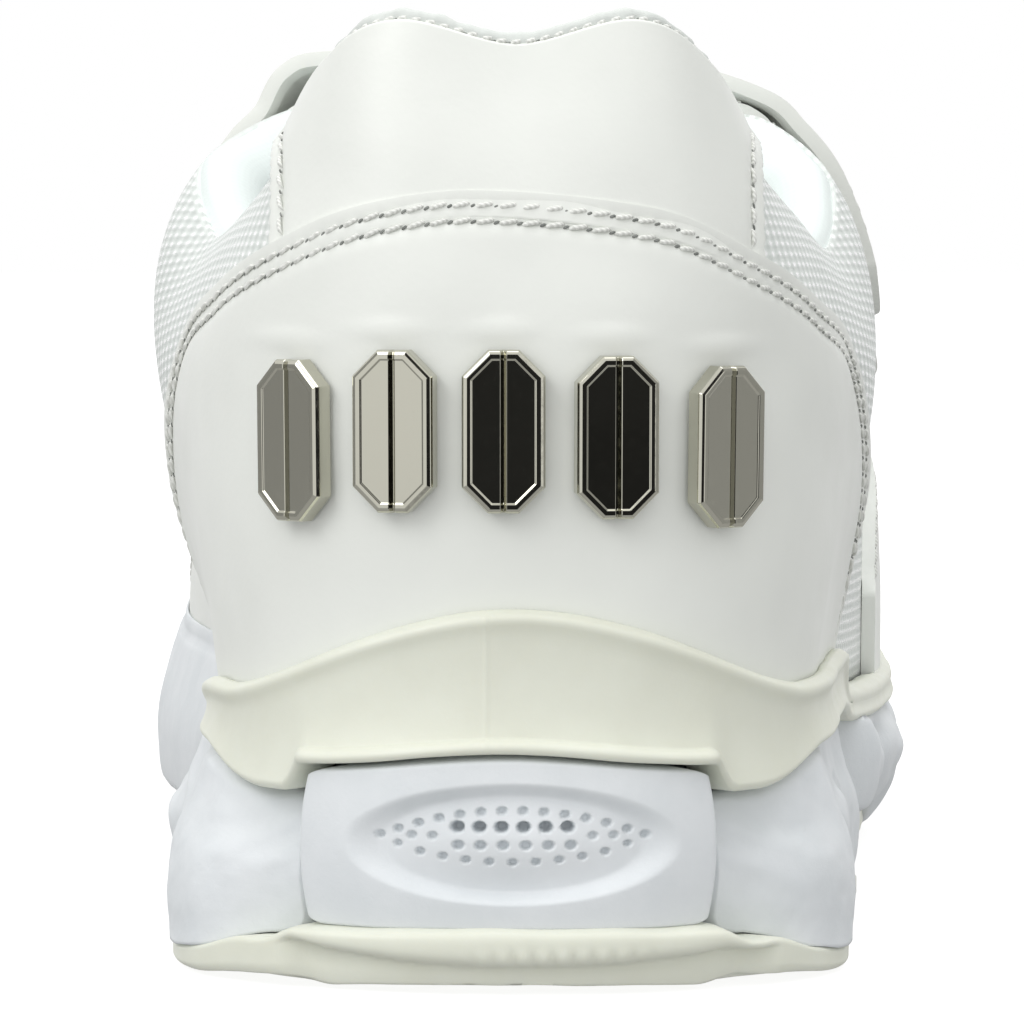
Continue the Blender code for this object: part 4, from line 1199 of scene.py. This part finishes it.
def make_heel_pods():
    """The waisted side pods, with a valley beside the capsule and soft folds."""
    a, b = rounded_square(*(2 * share - 1 for share in mesh_grid(170, 60)), 14)
    s, t = (a + 1) / 2, (b + 1) / 2
    for word, side in (("lateral", 1), ("medial", -1)):
        start = POD_START + side * HEEL_CENTRE_U
        u = side * (start + (POD_END - start) * s)
        low, high = heel_outsole_top(u) + 0.1, cup_bottom(u) - 0.2
        valley = 4.9 * fall(0.0, 0.22, s) * (1 - 0.45 * t)
        ridge = 0.55 * hill(s, 0.30 + 0.05 * np.sin(math.pi * t), 0.09)
        folds = np.sin(23 * t + 34 * s + 2 * np.sin(9 * s)) * hill(t, 0.66, 0.2)
        wrinkles = 0.16 * fall(0.08, 0.26, s) * folds
        corner = heel_corner(u) * (1 - 0.7 * t)
        lobes = 0.45 * np.cos(2 * math.pi * (s - 0.3) / 0.34) * smoothstep(0.4, 0.55, s)
        wide = smoothstep(0.4, 0.75, s) * (side < 0) * (0.5 + 1.9 * hill(t, 0.57, 0.2))
        seat = 1.3 * smoothstep(0.9, 1.0, t) ** 2 + 1.5 * smoothstep(0.93, 1.0, s) ** 2
        out = curve_at(POD_PROFILE, t) - valley + ridge + wrinkles + lobes + wide + corner - seat
        oval = np.hypot((s - 0.68) / 0.16, (t - 0.45) / 0.34)
        out = out - 0.7 * fall(0.75, 1.0, oval) + 0.5 * fall(0.35, 0.6, oval)
        obj = block(f"heel_pod_{word}_foam", u, low + (high - low) * t, out)
        crease(obj, 0.22, 5.0, 21 + side)
        crease(obj, 0.08, 1.8, 25 + side)
        keep(obj, "shoe", FOAM, [f"heel_pod_{word}"])


def tucked_in(u):
    """Where the sole's lateral wall leans in towards the floor."""
    return between(6.2, 7.2, 11.0, 12.8, u)


def lobe_shape(u):
    """Two lobes on the lateral side of the forefoot, a smooth wall on the medial side."""
    place = np.abs(u)
    fade = between(6.6, 7.2, 10.8, 12.0, place) * (u > 0)
    return FOREFOOT_WALL - 2.8 * fade * np.abs(np.cos(math.pi * (place - 7.3) / 1.8)) ** 3


LOBE_MIDDLES = [(6.75, 0.36), (8.2, 0.5), (10.0, 0.5)]     # u and half width of the lobes' oval rings


FOREFOOT_WALL, ARCH_WALL = 5.6, -8.4     # the foam's distance out of the last's outline
ARCH_LIFT = 4.4
FRONT_LEAN, MEDIAL_LEAN = 1.5, 1.6     # how far the wall leans in at its top
LATERAL_TUCK, LATERAL_LEAN = 3.6, 2.4     # and on the lateral side at the floor and at the cup


def make_midsole():
    """The foam core: a plain block over the arch, lobed walls and a smooth medial wall at the forefoot."""
    u = np.linspace(0.0, TOE, 240)
    y = outline_y(u)
    front = smoothstep(5.7, 6.5, u)
    low = ground(y) + OUTSOLE_THICKNESS + 0.1 + ARCH_LIFT * (smoothstep(50, 62, y) - smoothstep(140, 152, y))
    floor = feather(y) - 3.0

    def side(sign):
        at = u * sign
        tucked, covered = tucked_in(at), medial_cover(at)
        seat = floor + (cup_bottom(at) + 0.3 - floor) * smoothstep(5.2, 6.2, u)
        edge = low - 1.8 * smoothstep(6.8, 7.6, u) - 2.4 * tucked
        groove = FOREFOOT_WALL - lobe_shape(at)
        rise = np.maximum(0.0, cup_top(at) + 0.3 - seat) * covered
        inset = ARCH_WALL + (lobe_shape(at) - ARCH_WALL) * front
        wall = []
        for share in np.linspace(0.0, 1.0, 30):
            belly = 1.5 * np.sqrt(np.maximum(0.0, 1 - (2 * share - 1) ** 2)) - 1.5
            belly = belly + groove * smoothstep(0.72, 0.95, share)
            for middle, width in LOBE_MIDDLES if sign > 0 else []:
                oval = np.hypot((u - middle) / width, (share - 0.5) / 0.32)
                belly = belly - 0.3 * fall(0.5, 1.0, oval) + 0.28 * fall(0.2, 0.7, oval)
            slope = MEDIAL_LEAN * covered * smoothstep(0.35, 1.0, share)
            slope = slope + LATERAL_TUCK * tucked * (1 - share) ** 2.6
            slope = slope + LATERAL_LEAN * tucked * smoothstep(0.5, 1.0, share) ** 1.5
            out = inset + belly * front + 0.9 * rise / 6.5 * (1 - share) - slope
            wall.append(ring(at, out, edge + (seat + rise - edge) * share))
        inset = inset + (groove - LATERAL_LEAN * tucked) * front
        lean, covering = FRONT_LEAN * front + MEDIAL_LEAN * covered, rise / 7.1
        for angle in np.linspace(0.3, math.pi / 2, 7):
            reach = inset - lean - (inset - lean - rim_offset(u)) * (1 - math.cos(angle)) * covering
            wall.append(ring(at, reach, seat + rise + 2.2 * covering * math.sin(angle)))
        covers = rise > 0.3
        inner = np.where(covers, 0.6, inset - 1.4)
        foot = ring(at, np.minimum(-2.5, inset - 3.0) - LATERAL_TUCK / 2 * tucked, low)
        rim = ring(at, np.where(covers, rim_offset(u), inset - 1.4), seat + rise)
        channel = [ring(at, inner, seat + rise), ring(at, inner, seat)]
        return [foot] + wall + [rim] + channel + [
            ring(at, np.minimum(0.2, inset - 1.4), seat), ring(at, -10.2, floor),
        ]

    obj = loft("foam_midsole", np.stack(side(1) + side(-1)[::-1], axis=1))
    crease(obj, 0.12, 6.0, 51)
    keep(obj, "shoe", FOAM, ["midsole_foam"])


TREAD_PITCH = 7.0


def tread(x, y):
    """Height of wavy tread grooves, from 0 on a rib to 1 in a groove."""
    wave = y + 3.0 * np.sin(x * 2 * math.pi / 16.0)
    ribs = np.abs(((wave / TREAD_PITCH) % 1.0) - 0.5) * 2
    return fall(0.18, 0.34, ribs)


def heel_outsole_top(u):
    """Top of the heel outsole: high behind the capsule, then falling in a wave beside the pods."""
    place = heel_place(u)
    wave = 0.35 * np.sin(6.5 * place) * between(1.5, 1.8, 2.6, 3.0, place)
    step = 2.2 * fall(1.8, 2.3, place) + 1.2 * fall(1.4, 1.65, place)
    return ground(outline_y(u)) + 3.0 + step + wave


def heel_outsole_wall(u, up):
    """Distance out of the heel outsole's wall at a height share: a rounded slab proud at the back."""
    x = outline(u, 5.0)[0] - 1.2
    middle = fall(22.5, 25.5, np.abs(x))
    slab_low = 0.30 + 0.44 * (np.abs(x) / 24.0) ** 2
    share = (up - slab_low) / (1 - slab_low)
    slab = np.sqrt(np.maximum(0.0, 1 - np.abs(2 * np.clip(share, 0, 1) - 1) ** 3))
    marks = 0.3 * np.sin(x * 3.1 + 5 * up) * np.exp(-((x - 3.5) / 9.0) ** 4) * hill(share, 0.22, 0.2)
    plain = 6.1 + heel_corner(u) - 0.5 * near(up, 0.3) - 0.4 * near(1 - up, 0.15)
    return plain - 1.9 * middle + middle * (2.4 * slab + marks)


def heel_lift(u):
    """Height of the outsole's lower edge above the heel bevel, at the heel's two corners."""
    place = heel_place(u)
    corner = 1 - 0.55 * smoothstep(2.0, 2.6, place)
    return 1.1 * smoothstep(1.3, 1.7, place) * corner * fall(3.4, 4.8, place)


def front_outsole_wall(u, up):
    return 2.4 - 2.6 * tucked_in(u) - 2.0 * near(up, 0.35) - 0.5 * near(1 - up, 0.15)


def front_outsole_top(u):
    return ground(outline_y(u)) + OUTSOLE_THICKNESS


def floor_plan(u, out, across):
    """Plan points between the outline's two sides, across from -1 (medial) to 1 (lateral)."""
    medial, lateral = (np.stack(outline(u * sign, out(u * sign)), axis=-1)[:, None] for sign in (-1, 1))
    share = (across[:, None] + 1) / 2
    return medial * (1 - share) + lateral * share


def sole_plate(name, stations, wall, top_height, replaces):
    """An outsole: a ribbed underside, shaped side walls and a plain top."""
    u = np.linspace(*stations)
    across = np.linspace(-1, 1, 90)
    middle, lift = ground(outline_y(u)), heel_lift(u)
    plan = floor_plan(u, lambda at: wall(at, 0.0), across)
    ribs = 1.1 * tread(plan[..., 0], plan[..., 1]) * fall(0.9, 0.97, np.abs(across))
    bottom = middle[:, None] + lift[:, None] * smoothstep(0.6, 1.0, np.abs(across)) + ribs
    loop = list(np.moveaxis(np.concatenate((plan, bottom[..., None]), axis=-1), 1, 0))
    for sign in (1, -1):
        at, low, high = u * sign, middle + lift, top_height(u * sign)
        rising = [ring(at, wall(at, up), low + (high - low) * up) for up in np.linspace(0.0, 1.0, 21)[1:]]
        loop += (rising + [ring(at, wall(at, 1.0) - 6.0, high)])[::sign]
    obj = loft(name, np.stack(loop, axis=1))
    crease(obj, 0.15, 6.0, 31)
    keep(obj, "shoe", RUBBER, replaces)


def make_outsoles():
    sole_plate("heel_outsole_rubber", (0.0, 5.7, 200), heel_outsole_wall, heel_outsole_top, ["outsole_heel"])
    sole_plate("forefoot_outsole_rubber", (7.9, float(TOE), 150), front_outsole_wall, front_outsole_top,
               ["outsole_forefoot"])


INSOLE_INSET, INSOLE_THICKNESS = 5.3, 2.8
BOARD_THICKNESS, INSOLE_LIFT = 1.9, 3.0     # below the insole's face, above the feather line


def make_insole():
    """The removable insole, dished at its edges and covered with cloth."""
    u, across = np.linspace(0.0, TOE, 180), np.linspace(-1, 1, 60)
    plan = floor_plan(u, lambda at: -INSOLE_INSET, across)
    y = outline_y(u)[:, None]
    cup = 2.4 * np.abs(across) ** 4 * fall(60, 130, y) + 2.0 * hill(u[:, None], 0.0, 0.7)
    z = feather(y) + BOARD_THICKNESS + INSOLE_LIFT + cup
    obj = grid("cloth_insole", np.concatenate((plan, z[..., None]), axis=-1))
    solidify(obj, INSOLE_THICKNESS, -1.0)
    soften_edges(obj, 0.6)
    keep(obj, "shoe", INSOLE_CLOTH, ["insole"])


# ---------------------------------------------------------------- badges
BADGE_WIDTH, BADGE_HEIGHT, BADGE_THICKNESS, BADGE_CHAMFER = 8.6, 16.8, 2.2, 2.7


def u_at_x(x):
    """The u on the heel's back where the panel's outer face is at x."""
    u = np.linspace(-2.6, 2.6, 800)
    return float(np.interp(x, skin(u, 0.45, PANEL_TOP)[:, 0], u))


def make_badges():
    """Five plain eight-sided chrome plates with bevelled rims and an upright groove."""
    top = BADGE_THICKNESS
    steps = [(0.0, 0.0), (0.0, top - 0.5), (0.16, top - 0.16), (0.5, top), (0.95, top), (1.05, top - 0.14)]
    for number, (x, z) in enumerate(BADGE_PLACES, 1):
        u = u_at_x(x)
        v = float(v_at_height(np.array([u]), z)[0])
        normal = last_normal(u, v)
        side = unit(np.cross((0.0, 0.0, 1.0), normal))
        up = np.cross(normal, side)
        seat = skin(u, v, PANEL_TOP + 0.05)
        verts = [seat + side * a + up * b + normal * height
                 for inset, height in steps for a, b in badge_outline(inset)]
        obj = new_object(f"chrome_plate_{number}", to_row(verts), tube_faces(len(steps), 8))
        cut_groove(obj, to_row(seat), side, normal)
        face_outwards(obj)
        obj.data.shade_flat()
        soften_edges(obj, 0.05, 1, 20)
        keep(obj, "shoe", CHROME, [f"badge_{number}"])


def badge_outline(inset):
    """The plate's eight corners, moved in by inset, in its own plane."""
    w, h = BADGE_WIDTH / 2 - inset, BADGE_HEIGHT / 2 - inset
    c = BADGE_CHAMFER - inset * 0.6
    right = [(w, -h + c), (w, h - c), (w - c, h)]
    return right + [(-a, b) for a, b in right[::-1]] + [(-w + c, -h), (w - c, -h)]


def cut_groove(obj, seat, side, normal):
    """Presses a narrow V groove up the middle of a plate's outer face."""
    seat, side, normal = Vector(seat), Vector(side), Vector(normal)
    with edit_mesh(obj) as bm:
        for x in (-0.32, 0.0, 0.32):
            geometry, place = bm.verts[:] + bm.edges[:] + bm.faces[:], seat + side * (x * 0.001)
            bmesh.ops.bisect_plane(bm, geom=geometry, dist=1e-7, plane_co=place, plane_no=side)
        for vert in bm.verts:
            away = vert.co - seat
            if abs(away.dot(side)) < 1e-5 and away.dot(normal) > 0.0015:
                vert.co -= normal * 0.0007


# ---------------------------------------------------------------- stage, light and camera
CAMERA_PLACE = (3.0, -600.0, 89.0)
CAMERA_PITCH, CAMERA_YAW = -3.69, 0.32      # degrees below the horizon, and to the left
CAMERA_LENS = 206.8


def plane(name, corners, look):
    obj = new_object(name, np.array(corners, float), [(0, 1, 2, 3)])
    coat(obj, look.material)
    return obj


def area_light(name, place, target, size, energy):
    data = bpy.data.lights.new(name, "AREA")
    data.size = size
    data.energy = energy
    light = add_object(name, data)
    light.location = place
    light.rotation_euler = (Vector(target) - Vector(place)).to_track_quat("-Z", "Y").to_euler()


FLAG = [(-0.35, 0.0), (0.45, 0.0), (0.45, 0.34), (-0.35, 0.34)]      # y, z of a grey flag's corners
CARD = (-0.16, -0.95), (0.75, -0.80), 0.6     # a dark card's two ends and half height, all in metres


FLOOR_REACH = 3.0
FLAG_PLACES = {"left": -0.5, "right": 0.42}     # x


def make_stage():
    """A white floor and world, two soft lights, and what the chrome and the shoe's sides reflect."""
    far = FLOOR_REACH
    floor_look = Shader("floor_white", (0.35, 0.35, 0.35), 0.9, Specular_IOR_Level=0.0,
                        Emission_Color=(1, 1, 1, 1), Emission_Strength=0.82)
    floor = plane("floor", [(-far, -far, 0), (far, -far, 0), (far, far, 0), (-far, far, 0)], floor_look)
    (x, y), (far_x, far_y), high = CARD
    card = plane("dark_card", [(x, y, -high), (far_x, far_y, -high), (far_x, far_y, high), (x, y, high)],
                 Shader("card_black", (0.01, 0.01, 0.01), 0.9))
    flag_look = Shader("flag_grey", (0.42, 0.42, 0.42), 0.9)
    flags = [plane(f"{word}_flag", [(x, y, z) for y, z in FLAG], flag_look)
             for word, x in FLAG_PLACES.items()]
    for ray in ("diffuse", "transmission", "volume_scatter"):
        setattr(floor, f"visible_{ray}", False)
        setattr(card, f"visible_{ray}", False)
    floor.visible_glossy = False
    for hidden in [card] + flags:
        hidden.visible_camera = False
    card.visible_shadow = False

    world = bpy.data.worlds.new("white_studio")
    bpy.context.scene.world = world
    world.use_nodes = True
    nodes, links = world.node_tree.nodes, world.node_tree.links
    direction, split, brightness = (
        nodes.new("ShaderNode" + kind) for kind in ("TexCoord", "SeparateXYZ", "MapRange")
    )
    for socket, value in (("From Min", -0.3), ("From Max", -0.05), ("To Min", 0.5), ("To Max", 1.0)):
        brightness.inputs[socket].default_value = value
    links.new(direction.outputs["Generated"], split.inputs["Vector"])
    links.new(split.outputs["Z"], brightness.inputs["Value"])
    links.new(brightness.outputs["Result"], nodes["Background"].inputs["Strength"])
    nodes["Background"].inputs["Color"].default_value = (1, 1, 1, 1)
    area_light("key_softbox", (-0.7, -0.75, 0.75), (0, -0.08, 0.06), 0.6, 3.3)
    area_light("top_softbox", (0.1, 0.0, 1.1), (0, 0, 0.05), 0.8, 4.0)
    bpy.context.scene.view_settings.view_transform = "Standard"
    bpy.context.scene.view_settings.look = "None"


def make_camera():
    """The camera stands behind the shoe, a little above its collar."""
    data = bpy.data.cameras.new("photo_camera")
    data.lens = CAMERA_LENS
    data.sensor_width = 36.0
    data.clip_start, data.clip_end = 0.01, 20.0
    camera = add_object("photo_camera", data)
    camera.location = to_row(CAMERA_PLACE)
    camera.rotation_euler = (math.radians(90 + CAMERA_PITCH), 0, math.radians(CAMERA_YAW))
    bpy.context.scene.camera = camera


def main():
    make_camera()
    make_stage()
    for make in (make_cup, make_capsule, make_heel_pods, make_midsole, make_outsoles, make_insole,
                 make_mesh_upper, make_collar, make_binding, make_counter, make_back_panel,
                 make_side_panels, make_toe_cap, make_tongue):
        make()
    for name in STRAPS:
        make_strap(name)
        make_tapes(name)
    make_badges()
    make_stitching()
    for node in ("lasting_board", "heel_stiffener", "toe_puff"):
        coat(frame["nodes"][node], BOARD)
    coat(frame["nodes"]["arch_shank"], RUBBER)


main()
